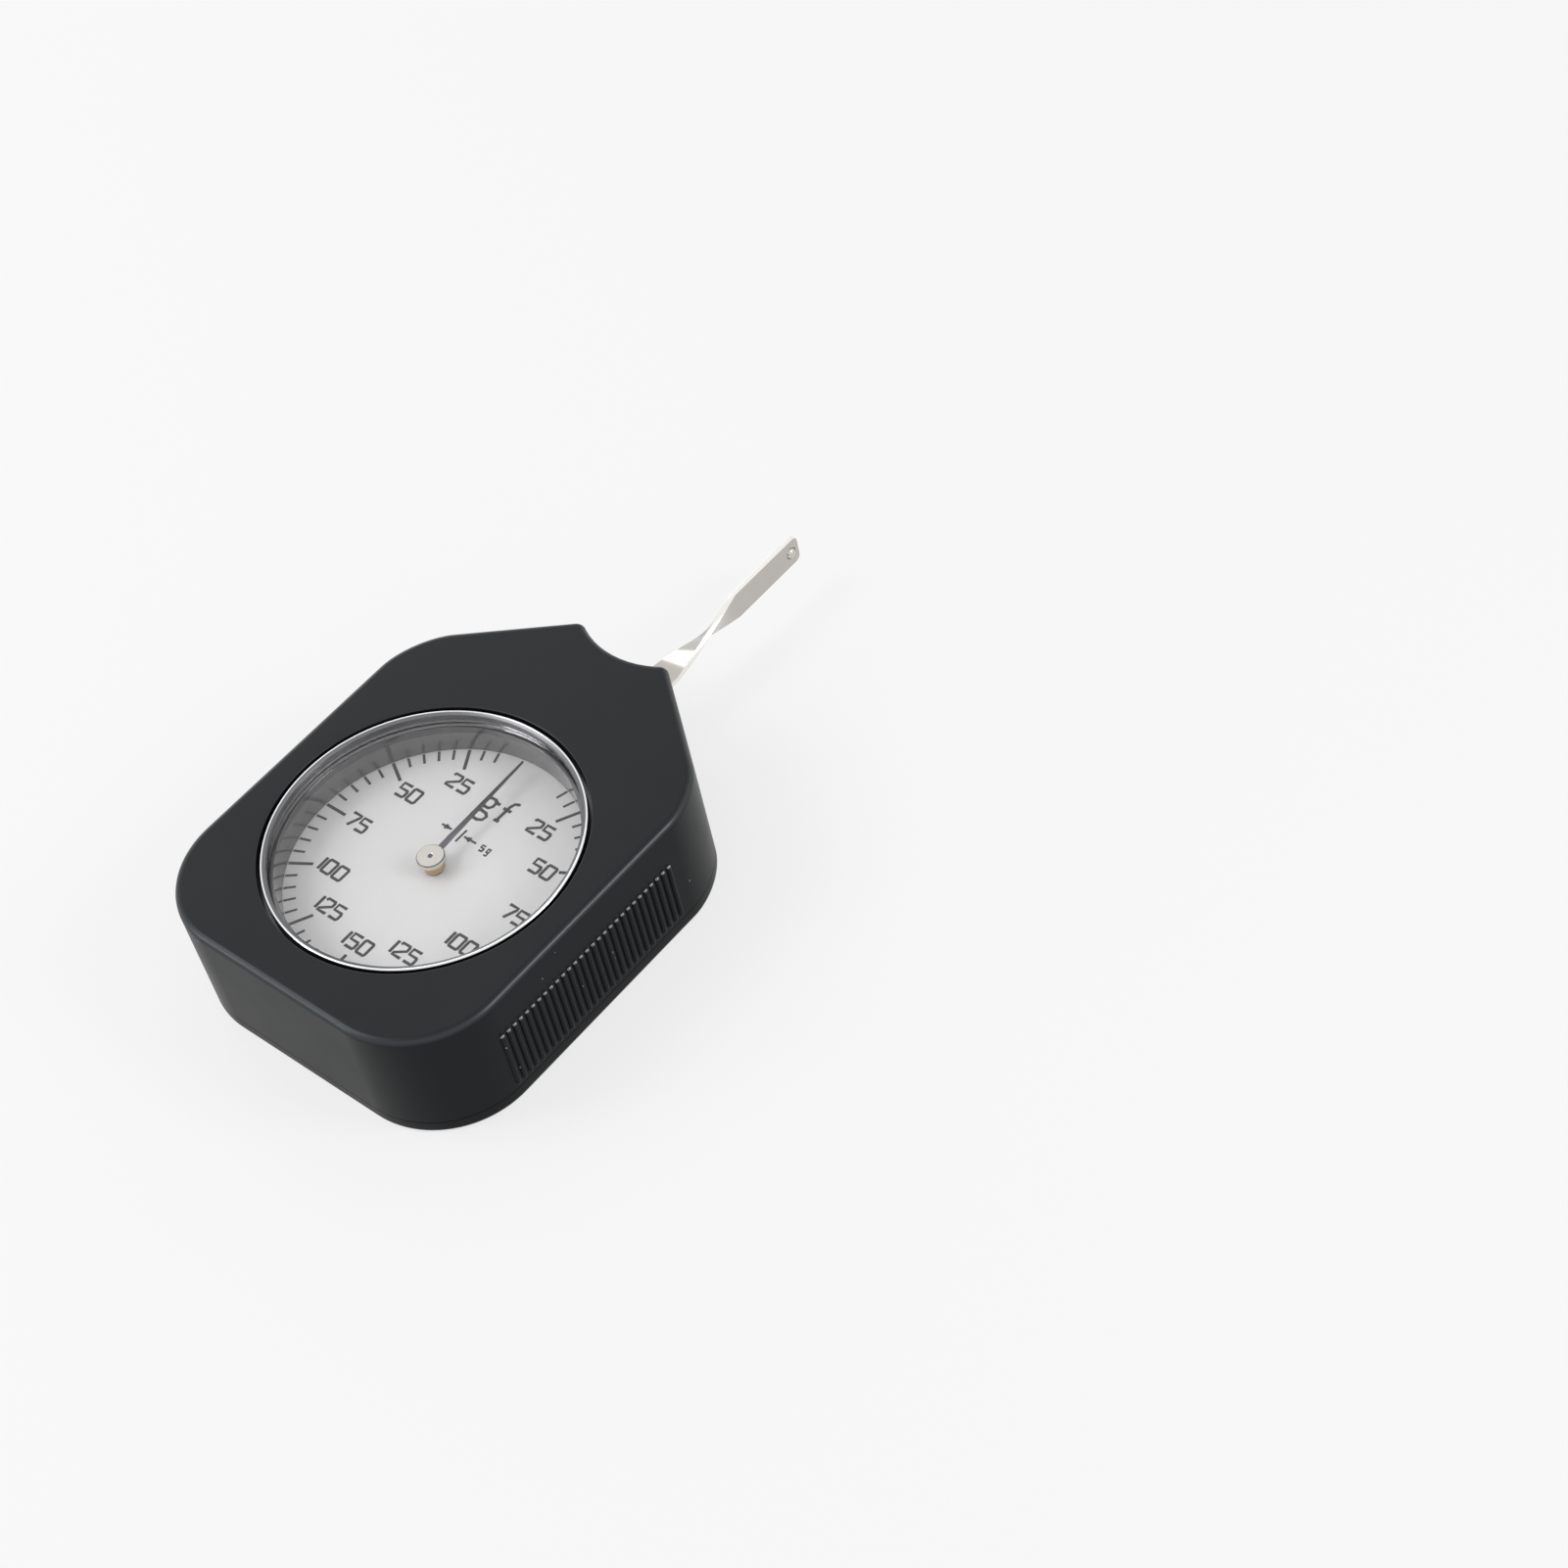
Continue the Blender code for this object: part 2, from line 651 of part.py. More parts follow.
def body_outline(inset):
    """Outline of the moulded body, or of its cavity when inset by the wall."""
    normal = shoulder_direction()
    half_width = BODY_HALF_WIDTH - inset
    heel_y = HEEL_Y + inset
    shoulder_reach = normal.dot(Vector((NOSE_HALF_WIDTH, NOSE_Y))) - inset
    shoulder_y = (shoulder_reach - normal.x * half_width) / normal.y
    if inset:
        top_y = CAVITY_END_Y
        top_x = (shoulder_reach - normal.y * top_y) / normal.x
        nose = [(top_x, top_y)]
    else:
        nose = scallop_points()
    heel = round_corner(
        (0.0, heel_y), (half_width, heel_y), (half_width, 0.0), HEEL_RADIUS - inset
    )
    shoulder = round_corner(
        (half_width, 0.0), (half_width, shoulder_y), nose[0], SHOULDER_RADIUS - inset
    )
    return with_mirror(heel + shoulder + nose)


def scallop_points():
    """Right half of the hollow in the nose, from its corner to the axis."""
    half, depth = NOSE_HALF_WIDTH, SCALLOP_DEPTH
    radius = (half * half + depth * depth) / (2 * depth)
    centre = (0.0, SCALLOP_Y + radius)
    half_sweep = math.degrees(math.asin(half / radius))
    hollow = arc(centre, radius, -90.0 + half_sweep, -90.0)
    corner = round_corner((BODY_HALF_WIDTH, SHOULDER_Y), hollow[0], hollow[1], NOSE_RADIUS)
    clear = [p for p in hollow[1:] if p[0] < corner[-1][0]]
    return corner + clear


def rib_blanks(collection):
    """All the grip ribs as short rounded posts half sunk in the side walls."""
    bottom = SHELL_BOTTOM_Z + RIB_FOOT_ROOM
    top = BODY_DEPTH - RIB_TOP_DEPTH
    post = bmesh.new()
    bmesh.ops.create_cone(
        post, cap_ends=True, segments=RIB_SIDES, radius1=RIB_RADIUS, radius2=RIB_RADIUS,
        depth=top - bottom,
    )
    rim = [e for e in post.edges if min(v.co.z for v in e.verts) > 0.0]
    bmesh.ops.bevel(post, geom=rim, offset=RIB_END_SLOPE, segments=1, profile=0.5,
                    affect="EDGES", material=-1)
    bmesh.ops.rotate(post, verts=post.verts, cent=(0.0, 0.0, 0.0),
                     matrix=Matrix.Rotation(math.pi / RIB_SIDES, 3, "Z"))
    bmesh.ops.translate(post, verts=post.verts, vec=(0.0, 0.0, (top + bottom) / 2))
    mesh = bpy.data.meshes.new("rib")
    post.to_mesh(mesh)
    post.free()
    rib = mesh_object("rib", mesh, collection)
    first = heel_round()[0][1] - RIB_HEEL_OVERRUN
    last = shoulder_round()[0][1] - RIB_SHOULDER_ROOM
    pitch = (last - first) / (RIB_COUNT - 1)
    x = BODY_HALF_WIDTH - RIB_SINK
    places = [(side * x, first + pitch * i) for side in (-1, 1) for i in range(RIB_COUNT)]
    return grouped_copies("rib_blanks", rib, places, collection)


def boss_blanks(name, places, radius, bottom_z, collection):
    """Posts that hang from the ceiling of the body."""
    post = cylinder("post", radius, bottom_z, CEILING_Z + TOP_WALL / 2, SMALL_STEPS, collection)
    return grouped_copies(name, post, places, collection)


def pilot_cutters(name, places, bottom_z, collection):
    """Screw holes that open at the foot of the bosses."""
    drill = cylinder(
        "drill", PILOT_RADIUS, bottom_z - CUT_OVERRUN, bottom_z + PILOT_DEPTH, SMALL_STEPS, collection
    )
    return grouped_copies(name, drill, places, collection)


def make_front_housing(parts, cutters):
    """Deep moulded shell with the window, the arm slot, bosses and grip ribs."""
    housing = flat_solid(
        "front_housing", [body_outline(0.0)], SHELL_BOTTOM_Z, BODY_DEPTH - SHELL_BOTTOM_Z, parts
    )
    bevel_rim(housing, BODY_DEPTH, TOP_FILLET, TOP_FILLET_SEGMENTS)
    floor_z = SHELL_BOTTOM_Z - CUT_OVERRUN
    cavity = flat_solid(
        "cavity_cutter", [body_outline(SIDE_WALL)], floor_z, CEILING_Z - floor_z, parts
    )
    combine(housing, cavity, "DIFFERENCE", cutters)
    window = cylinder("window_cutter", WINDOW_RADIUS, CEILING_Z - CUT_OVERRUN,
                      BODY_DEPTH + CUT_OVERRUN, LARGE_STEPS, parts)
    combine(housing, window, "DIFFERENCE", cutters)
    slot = box("arm_slot_cutter", (-ARM_SLOT_HALF, CAVITY_END_Y - CUT_OVERRUN, floor_z),
               (ARM_SLOT_HALF, NOSE_Y + CUT_OVERRUN, ARM_TOP_Z + SLOT_TOP_ROOM), parts)
    combine(housing, slot, "DIFFERENCE", cutters)
    boss_foot = FRONT_PLATE_TOP_Z + SEAT_GAP
    cover_foot = SHELL_BOTTOM_Z + COVER_BOSS_RECESS
    combine(housing, boss_blanks("cover_bosses", cover_boss_places(), COVER_BOSS_RADIUS,
                                 cover_foot, parts), "UNION", cutters)
    combine(housing, boss_blanks("movement_bosses", movement_boss_places(), MOVEMENT_BOSS_RADIUS,
                                 boss_foot, parts), "UNION", cutters)
    combine(housing, pilot_cutters("cover_pilots", cover_boss_places(), cover_foot, parts),
            "DIFFERENCE", cutters)
    combine(housing, pilot_cutters("movement_pilots", movement_boss_places(), boss_foot, parts),
            "DIFFERENCE", cutters)
    combine(housing, rib_blanks(parts), "UNION", cutters)
    apply_modifiers(housing)
    shade_round(housing)
    add_finish(housing, BLACK_PLASTIC)
    return housing


def make_rear_cover(parts, cutters):
    """Flat back cover with a tongue that closes the arm slot from below."""
    cover = flat_solid("rear_cover", [body_outline(0.0)], 0.0, COVER_THICKNESS, parts)
    bevel_rim(cover, 0.0, COVER_FILLET, COVER_FILLET_SEGMENTS)
    half = ARM_SLOT_HALF - HOUSING_GAP
    tongue = box("cover_tongue", (-half, CAVITY_END_Y, COVER_THICKNESS / 2),
                 (half, SCALLOP_Y - HOUSING_GAP, ARM_BOTTOM_Z - SLOT_TOP_ROOM), parts)
    combine(cover, tongue, "UNION", cutters)
    sink = turned_solid("countersink", countersink_profile(), SMALL_STEPS, parts)
    sinks = grouped_copies("countersinks", sink, cover_boss_places(), parts)
    combine(cover, sinks, "DIFFERENCE", cutters)
    apply_modifiers(cover)
    shade_round(cover)
    add_finish(cover, BLACK_PLASTIC)
    return cover


def countersink_profile():
    """Hole and cone that take a cover screw, open at the back face."""
    hole = PILOT_RADIUS + SEAT_GAP
    head = COVER_SCREW_HEAD_RADIUS + SEAT_GAP
    cone_top = COVER_SCREW_CONE + SEAT_GAP
    top = COVER_THICKNESS + CUT_OVERRUN
    return [
        (0.0, top), (hole, top), (hole, cone_top + COVER_SCREW_SINK), (head, COVER_SCREW_SINK),
        (head, -CUT_OVERRUN), (0.0, -CUT_OVERRUN),
    ]


def make_cover_screws(parts, cutters):
    """Countersunk screws that hold the cover, heads flush with the back."""
    face = COVER_SCREW_SINK
    tip = SHELL_BOTTOM_Z + PILOT_DEPTH - SCREW_TIP_ROOM
    profile = rod_profile(
        [(SCREW_RADIUS * COVER_SCREW_POINT_SHARE, tip), (SCREW_RADIUS, tip - COVER_SCREW_POINT),
         (SCREW_RADIUS, COVER_SCREW_CONE + face), (COVER_SCREW_HEAD_RADIUS, face + SEAT_GAP),
         (COVER_SCREW_HEAD_RADIUS, face)],
        tip, face,
    )
    screw = turned_solid("cover_screw", profile, SMALL_STEPS, parts)
    cut_slot(screw, COVER_SCREW_HEAD_RADIUS, face, cutters)
    shade_round(screw)
    add_finish(screw, SATIN_STEEL)
    place_copies(screw, cover_boss_places(), parts)


def cut_slot(screw, head_radius, face_z, cutters):
    """Saw the driver slot into a screw head that faces down."""
    reach = head_radius + SLOT_WIDTH
    slot = box(screw.name + "_slot", (-reach, -SLOT_WIDTH / 2, face_z - CUT_OVERRUN),
               (reach, SLOT_WIDTH / 2, face_z + SLOT_DEPTH), cutters)
    combine(screw, slot, "DIFFERENCE", cutters)
    apply_modifiers(screw)


# Window: bezel, crystal, spacer ring and dial

def make_bezel_ring(parts):
    """Polished ring: sloping lip, groove for the crystal, flange and skirt."""
    lip_radius = BEZEL_BORE - BEZEL_LIP
    slope_z = BEZEL_TOP_Z - BEZEL_SLOPE_DROP
    flange_bottom = FLANGE_TOP_Z - BEZEL_FLANGE_THICKNESS
    foot = DIAL_TOP_Z + SEAT_GAP
    profile = [
        (BEZEL_RADIUS, BEZEL_TOP_Z), (BEZEL_RADIUS, FLANGE_TOP_Z), (FLANGE_RADIUS, FLANGE_TOP_Z),
        (FLANGE_RADIUS, flange_bottom), (SKIRT_RADIUS, flange_bottom), (SKIRT_RADIUS, foot),
        (BEZEL_BORE, foot), (BEZEL_BORE, LIP_UNDERSIDE_Z), (lip_radius, LIP_UNDERSIDE_Z),
        (lip_radius, slope_z), (BEZEL_RADIUS - BEZEL_LAND, BEZEL_TOP_Z),
    ]
    ring = turned_solid("bezel_ring", profile, LARGE_STEPS, parts, closed=True)
    shade_round(ring, RING_CREASE_DEG)
    add_finish(ring, POLISHED_STEEL)


def make_crystal(parts):
    """Flat clear crystal snapped under the lip of the bezel."""
    edge = CRYSTAL_CHAMFER
    profile = rod_profile(
        [(CRYSTAL_RADIUS - edge, CRYSTAL_TOP_Z), (CRYSTAL_RADIUS, CRYSTAL_TOP_Z - edge),
         (CRYSTAL_RADIUS, CRYSTAL_BOTTOM_Z)],
        CRYSTAL_TOP_Z, CRYSTAL_BOTTOM_Z,
    )
    crystal = turned_solid("crystal", profile, LARGE_STEPS, parts)
    shade_round(crystal)
    add_finish(crystal, CLEAR_ACRYLIC)


def make_spacer_ring(parts):
    """Polished wall between the crystal and the dial."""
    top, foot = CRYSTAL_BOTTOM_Z - SEAT_GAP, DIAL_TOP_Z + SEAT_GAP
    profile = tube_profile(SPACER_RADIUS, SPACER_BORE, top, foot)
    ring = turned_solid("spacer_ring", profile, LARGE_STEPS, parts, closed=True)
    shade_round(ring)
    add_finish(ring, POLISHED_STEEL)


def dial_foot_places():
    """Feet under the dial that locate it in the front plate."""
    reach = DIAL_RADIUS * DIAL_FOOT_DISTANCE_SHARE
    return [polar(reach, angle) for angle in DIAL_FOOT_ANGLES]


def make_dial(parts):
    """Dial disc with its centre hole, and the two feet below it."""
    outlines = [
        circle((0.0, 0.0), DIAL_RADIUS, LARGE_STEPS),
        circle((0.0, 0.0), DIAL_HOLE_RADIUS, SMALL_STEPS),
    ]
    dial = flat_solid("dial_plate", outlines, DIAL_BOTTOM_Z, DIAL_THICKNESS, parts)
    add_finish(dial, DIAL_SILVER)
    foot = cylinder("dial_foot", DIAL_FOOT_RADIUS, FRONT_PLATE_BOTTOM_Z - SEAT_GAP,
                    DIAL_BOTTOM_Z - SEAT_GAP / 2, SMALL_STEPS, parts)
    shade_round(foot)
    add_finish(foot, BRASS)
    place_copies(foot, dial_foot_places(), parts)


# Movement plates, pillars and their screws

def holes(places, radius):
    """Round hole outlines at the given places, their flats no nearer than the radius."""
    corner_radius = radius / math.cos(math.pi / SMALL_STEPS)
    return [circle(place, corner_radius, SMALL_STEPS) for place in places]


def make_front_plate(parts):
    """Plate under the dial that carries the whole movement."""
    boss_x, boss_y = movement_boss_places()[0]
    pillar_x, pillar_y = pillar_places()[1]
    half = boss_x + PLATE_EDGE
    top = pillar_y + PILLAR_RADIUS + PLATE_EDGE / 2
    side_top = movement_boss_places()[1][1] + PLATE_EDGE * PLATE_SIDE_EDGE_SHARE
    corners = [
        (half, boss_y - PLATE_EDGE * PLATE_HEEL_EDGE_SHARE, PLATE_CORNER_RADIUS),
        (half, side_top, PLATE_CORNER_RADIUS),
        (pillar_x + PILLAR_RADIUS, top, PLATE_TOP_CORNER_RADIUS),
    ]
    left = [(-x, y, radius) for x, y, radius in reversed(corners)]
    outlines = [rounded_path(corners + left)]
    outlines += holes([(0.0, 0.0)], pointer_bush_radius() + SEAT_GAP)
    outlines += holes([(0.0, LEVER_AXIS_Y)], lever_bush_radius() + SEAT_GAP)
    outlines += holes(movement_boss_places(), SCREW_RADIUS + SEAT_GAP)
    outlines += holes(pillar_places(), PILLAR_SPIGOT_RADIUS + SEAT_GAP)
    outlines += holes(stop_pin_places(), STOP_PIN_RADIUS + SEAT_GAP)
    outlines += holes(dial_foot_places(), DIAL_FOOT_RADIUS + SEAT_GAP)
    outlines += holes([spring_stud_place(), hairspring_stud_place()], STUD_RADIUS + SEAT_GAP)
    plate = flat_solid("front_plate", outlines, FRONT_PLATE_BOTTOM_Z, FRONT_PLATE_THICKNESS, parts)
    add_finish(plate, BRASS)


def make_rear_plate(parts):
    """Narrow bridge with two cross arms, which leaves the sector in view."""
    low_x, low_y = pillar_places()[0]
    high_x, high_y = pillar_places()[1]
    edge = PILLAR_RADIUS + PLATE_EDGE * BRIDGE_EDGE_SHARE
    corner = edge * BRIDGE_CORNER_SHARE
    bar = BRIDGE_HALF_WIDTH
    corners = [
        (low_x + edge, low_y - edge, edge), (low_x + edge, low_y + edge, corner),
        (bar, low_y + edge, BRIDGE_FILLET), (bar, high_y - edge, BRIDGE_FILLET),
        (high_x + edge, high_y - edge, corner), (high_x + edge, high_y + edge, edge),
    ]
    left = [(-x, y, radius) for x, y, radius in reversed(corners)]
    outlines = [rounded_path(corners + left)]
    outlines += holes([(0.0, 0.0)], pointer_pivot_bush_radius() + SEAT_GAP)
    outlines += holes([(0.0, LEVER_AXIS_Y)], lever_bush_radius() + SEAT_GAP)
    outlines += holes(pillar_places(), SCREW_RADIUS + SEAT_GAP)
    plate = flat_solid("rear_plate", outlines, REAR_PLATE_BOTTOM_Z, REAR_PLATE_THICKNESS, parts)
    add_finish(plate, BRASS)


def make_pillars(parts):
    """Shouldered pillars riveted in the front plate and tapped from the rear."""
    top = FRONT_PLATE_TOP_Z - SEAT_GAP / 2
    shoulder = FRONT_PLATE_BOTTOM_Z - SEAT_GAP / 2
    foot = REAR_PLATE_TOP_Z + SEAT_GAP / 2
    bore_top = foot + SCREW_LENGTH
    bore = SCREW_RADIUS + SEAT_GAP
    profile = [
        (0.0, top), (PILLAR_SPIGOT_RADIUS, top), (PILLAR_SPIGOT_RADIUS, shoulder),
        (PILLAR_RADIUS, shoulder), (PILLAR_RADIUS, foot), (bore, foot), (bore, bore_top),
        (0.0, bore_top),
    ]
    pillar = turned_solid("plate_pillar", profile, SMALL_STEPS, parts)
    shade_round(pillar)
    add_finish(pillar, BRASS)
    place_copies(pillar, pillar_places(), parts)


def pan_screw(name, face_z, length, parts):
    """A screw with its head below a face and its shank going up."""
    tip = face_z + length
    head_z = face_z - SEAT_GAP / 2
    profile = rod_profile(
        [(SCREW_RADIUS, tip), (SCREW_RADIUS, head_z), (SCREW_HEAD_RADIUS, head_z),
         (SCREW_HEAD_RADIUS, head_z - SCREW_HEAD_HEIGHT)],
        tip, head_z - SCREW_HEAD_HEIGHT,
    )
    screw = turned_solid(name, profile, SMALL_STEPS, parts)
    shade_round(screw)
    add_finish(screw, SATIN_STEEL)
    return screw


def make_movement_screws(parts):
    """Screws of the front plate and of the rear plate."""
    length = FRONT_PLATE_THICKNESS + SCREW_LENGTH
    screw = pan_screw("front_plate_screw", FRONT_PLATE_BOTTOM_Z, length, parts)
    place_copies(screw, movement_boss_places(), parts)
    length = REAR_PLATE_THICKNESS + SCREW_LENGTH - SCREW_TIP_ROOM
    screw = pan_screw("rear_plate_screw", REAR_PLATE_BOTTOM_Z, length, parts)
    place_copies(screw, pillar_places(), parts)


# Bushes

def pointer_bush_radius():
    """Outer radius of the bush that guides the pointer arbor under the dial."""
    return POINTER_ARBOR_RADIUS + RUNNING_GAP + BUSH_WALL


def pointer_pivot_bush_radius():
    """Outer radius of the bush at the foot of the pointer arbor."""
    return POINTER_JOURNAL_RADIUS + RUNNING_GAP + BUSH_WALL


def lever_bush_radius():
    """Outer radius of both lever bushes."""
    return LEVER_JOURNAL_RADIUS + RUNNING_GAP + BUSH_WALL


def make_bush(name, centre, outer, bore, bottom_z, top_z, parts):
    """A plain turned bush."""
    profile = tube_profile(outer, bore, top_z, bottom_z)
    bush = turned_solid(name, profile, SMALL_STEPS, parts, closed=True)
    bush.location = (*centre, 0.0)
    shade_round(bush)
    add_finish(bush, BRONZE)


def make_bushes(parts):
    """Four bushes: one at each end of both arbors."""
    front = (FRONT_PLATE_BOTTOM_Z, FRONT_PLATE_TOP_Z)
    rear = (REAR_PLATE_BOTTOM_Z, REAR_PLATE_TOP_Z)
    pointer_at, lever_at = (0.0, 0.0), (0.0, LEVER_AXIS_Y)
    make_bush("pointer_front_bush", pointer_at, pointer_bush_radius(),
              POINTER_ARBOR_RADIUS + RUNNING_GAP, *front, parts)
    make_bush("pointer_rear_bush", pointer_at, pointer_pivot_bush_radius(),
              POINTER_JOURNAL_RADIUS + RUNNING_GAP, *rear, parts)
    make_bush("lever_front_bush", lever_at, lever_bush_radius(),
              LEVER_JOURNAL_RADIUS + RUNNING_GAP, *front, parts)
    make_bush("lever_rear_bush", lever_at, lever_bush_radius(),
              LEVER_JOURNAL_RADIUS + RUNNING_GAP, *rear, parts)


# Involute teeth

def involute(angle):
    """Involute function of a pressure angle in radians."""
    return math.tan(angle) - angle


def tooth_flank(teeth, shift, tip_radius, root_radius):
    """Half angle of a tooth at radii from its root to its tip, as (radius, angle)."""
    pitch_radius = GEAR_MODULE * teeth / 2
    pressure = math.radians(PRESSURE_ANGLE)
    base_radius = pitch_radius * math.cos(pressure)
    thickness = GEAR_MODULE * (math.pi / 2 + 2 * shift * math.tan(pressure)) - BACKLASH / 2
    half_at_pitch = thickness / (2 * pitch_radius)
    start = max(base_radius, root_radius)
    flank = []
    for index in range(FLANK_POINTS):
        radius = start + (tip_radius - start) * index / (FLANK_POINTS - 1)
        local = math.acos(min(1.0, base_radius / radius))
        flank.append((radius, half_at_pitch + involute(pressure) - involute(local)))
    if root_radius < start:
        flank.insert(0, (root_radius, flank[0][1]))
    return flank


def tooth_points(flank, centre_deg):
    """Outline of one tooth about its centre line, counter-clockwise."""
    rising = [(radius, centre_deg - math.degrees(angle)) for radius, angle in flank]
    falling = [(radius, centre_deg + math.degrees(angle)) for radius, angle in reversed(flank)]
    return [polar(radius, angle) for radius, angle in rising + falling]


def pinion_tip_radius():
    """Outer radius of the pinion."""
    return PINION_PITCH_RADIUS + GEAR_MODULE * (1 + PROFILE_SHIFT_SHARE)


def sector_tip_radius():
    """Outer radius of the toothed sector."""
    return SECTOR_PITCH_RADIUS + GEAR_MODULE * (1 - PROFILE_SHIFT_SHARE)


def pinion_outline():
    """All the pinion teeth, with a space that faces the sector."""
    root = PINION_PITCH_RADIUS - GEAR_MODULE * (DEDENDUM_SHARE - PROFILE_SHIFT_SHARE)
    flank = tooth_flank(PINION_TEETH, PROFILE_SHIFT_SHARE, pinion_tip_radius(), root)
    pitch_deg = 360.0 / PINION_TEETH
    points = []
    for index in range(PINION_TEETH):
        points += tooth_points(flank, 90.0 + pitch_deg * (index + 0.5))
    return points


def sector_outline():
    """Fan outline of the sector about the lever axis, teeth facing -Y."""
    root = SECTOR_PITCH_RADIUS - GEAR_MODULE * (DEDENDUM_SHARE + PROFILE_SHIFT_SHARE)
    flank = tooth_flank(SECTOR_FULL_TEETH, -PROFILE_SHIFT_SHARE, sector_tip_radius(), root)
    pitch_deg = 360.0 / SECTOR_FULL_TEETH
    points = []
    for index in range(SECTOR_TEETH):
        points += tooth_points(flank, -90.0 + pitch_deg * (index - (SECTOR_TEETH - 1) / 2))
    half_deg = pitch_deg * SECTOR_TEETH / 2
    inner = root - SECTOR_RIM
    spoke_deg = math.degrees(math.asin(SECTOR_SPOKE_RIM_HALF / inner))
    hub_deg = math.degrees(math.asin(SECTOR_SPOKE_HUB_HALF / HUB_FLANGE_RADIUS))
    points.append(polar(root, -90.0 + half_deg))
    points += arc((0.0, 0.0), inner, -90.0 + half_deg, -90.0 + spoke_deg)
    points += arc((0.0, 0.0), HUB_FLANGE_RADIUS, -90.0 + hub_deg, 270.0 - hub_deg)
    points += arc((0.0, 0.0), inner, 270.0 - spoke_deg, 270.0 - half_deg)
    points.append(polar(root, 270.0 - half_deg))
    return points


# Lever

def rivet_places():
    """Rivets on both sides of the lever axis."""
    return [(RIVET_SPREAD, 0.0), (-RIVET_SPREAD, 0.0)]


def arm_outline():
    """Flat outline of the arm before its twist: eye, neck and long strip."""
    half = ARM_WIDTH / 2
    neck_deg = math.degrees(math.asin(half / ARM_EYE_RADIUS)) + ARM_EYE_FILLET_DEG
    eye = arc((0.0, 0.0), ARM_EYE_RADIUS, 90.0 + neck_deg - 360.0, 90.0 - neck_deg)
    tip = round_corner((half, 0.0), (half, ARM_REACH), (0.0, ARM_REACH), ARM_TIP_RADIUS)
    strip = [(half, ARM_NECK_Y)] + tip
    mirror = [(-x, y) for x, y in reversed(strip)]
    return eye + strip + mirror


def twist_arm(arm):
    """Turn the strip on edge: sections across it are cut, then turned about its own axis."""
    shape = bmesh.new()
    shape.from_mesh(arm.data)
    for index in range(ARM_TWIST_STEPS + 1):
        y = ARM_TWIST_START + ARM_TWIST_LENGTH * index / ARM_TWIST_STEPS
        geometry = shape.verts[:] + shape.edges[:] + shape.faces[:]
        bmesh.ops.bisect_plane(shape, geom=geometry, dist=CUT_DISTANCE,
                               plane_co=(0.0, y, 0.0), plane_no=(0.0, 1.0, 0.0))
    for vertex in shape.verts:
        share = min(1.0, max(0.0, (vertex.co.y - ARM_TWIST_START) / ARM_TWIST_LENGTH))
        turn = Matrix.Rotation(-math.radians(ARM_TWIST_DEG) * share, 3, "Y")
        offset = Vector((vertex.co.x, 0.0, vertex.co.z - ARM_LEVEL_Z))
        turned = turn @ offset
        vertex.co = (turned.x, vertex.co.y, turned.z + ARM_LEVEL_Z)
    bmesh.ops.triangulate(shape, faces=shape.faces)
    shape.to_mesh(arm.data)
    shape.free()


def make_measuring_arm(parts, cutters, axis):
    """Polished strip that swings with the lever and touches the work with its ball."""
    outlines = [arm_outline()] + holes([(0.0, 0.0)], HUB_SPIGOT_RADIUS + SEAT_GAP / 2)
    outlines += holes(rivet_places(), RIVET_RADIUS + SEAT_GAP / 2)
    arm = flat_solid("measuring_arm", outlines, ARM_BOTTOM_Z, ARM_THICKNESS, parts, axis)
    twist_arm(arm)
    drill = cylinder("ball_seat", BALL_RADIUS + RUNNING_GAP, -ARM_WIDTH / 2, ARM_WIDTH / 2,
                     SMALL_STEPS, parts)
    drill.rotation_euler = (0.0, math.radians(90.0), 0.0)
    drill.location = (0.0, LEVER_AXIS_Y + ARM_REACH - BALL_SETBACK, ARM_LEVEL_Z)
    combine(arm, drill, "DIFFERENCE", cutters)
    apply_modifiers(arm)
    shade_round(arm, ARM_CREASE_DEG)
    add_finish(arm, POLISHED_STEEL)


def make_contact_ball(parts, axis):
    """Ball set through the tip of the arm, proud of both sides."""
    shape = bmesh.new()
    bmesh.ops.create_uvsphere(shape, u_segments=SMALL_STEPS, v_segments=BALL_RINGS,
                              radius=BALL_RADIUS)
    bmesh.ops.translate(shape, verts=shape.verts,
                        vec=(0.0, ARM_REACH - BALL_SETBACK, ARM_LEVEL_Z))
    mesh = bpy.data.meshes.new("contact_ball")
    shape.to_mesh(mesh)
    shape.free()
    ball = mesh_object("contact_ball", mesh, parts, axis)
    ball.data.shade_smooth()
    add_finish(ball, POLISHED_STEEL)


def make_sector_gear(parts, axis):
    """Toothed fan that drives the pinion."""
    outlines = [sector_outline()] + holes([(0.0, 0.0)], HUB_FOOT_RADIUS + SEAT_GAP / 2)
    outlines += holes(rivet_places(), RIVET_RADIUS + SEAT_GAP / 2)
    sector = flat_solid("sector_gear", outlines, SECTOR_BOTTOM_Z, SECTOR_THICKNESS, parts, axis)
    add_finish(sector, BRASS)


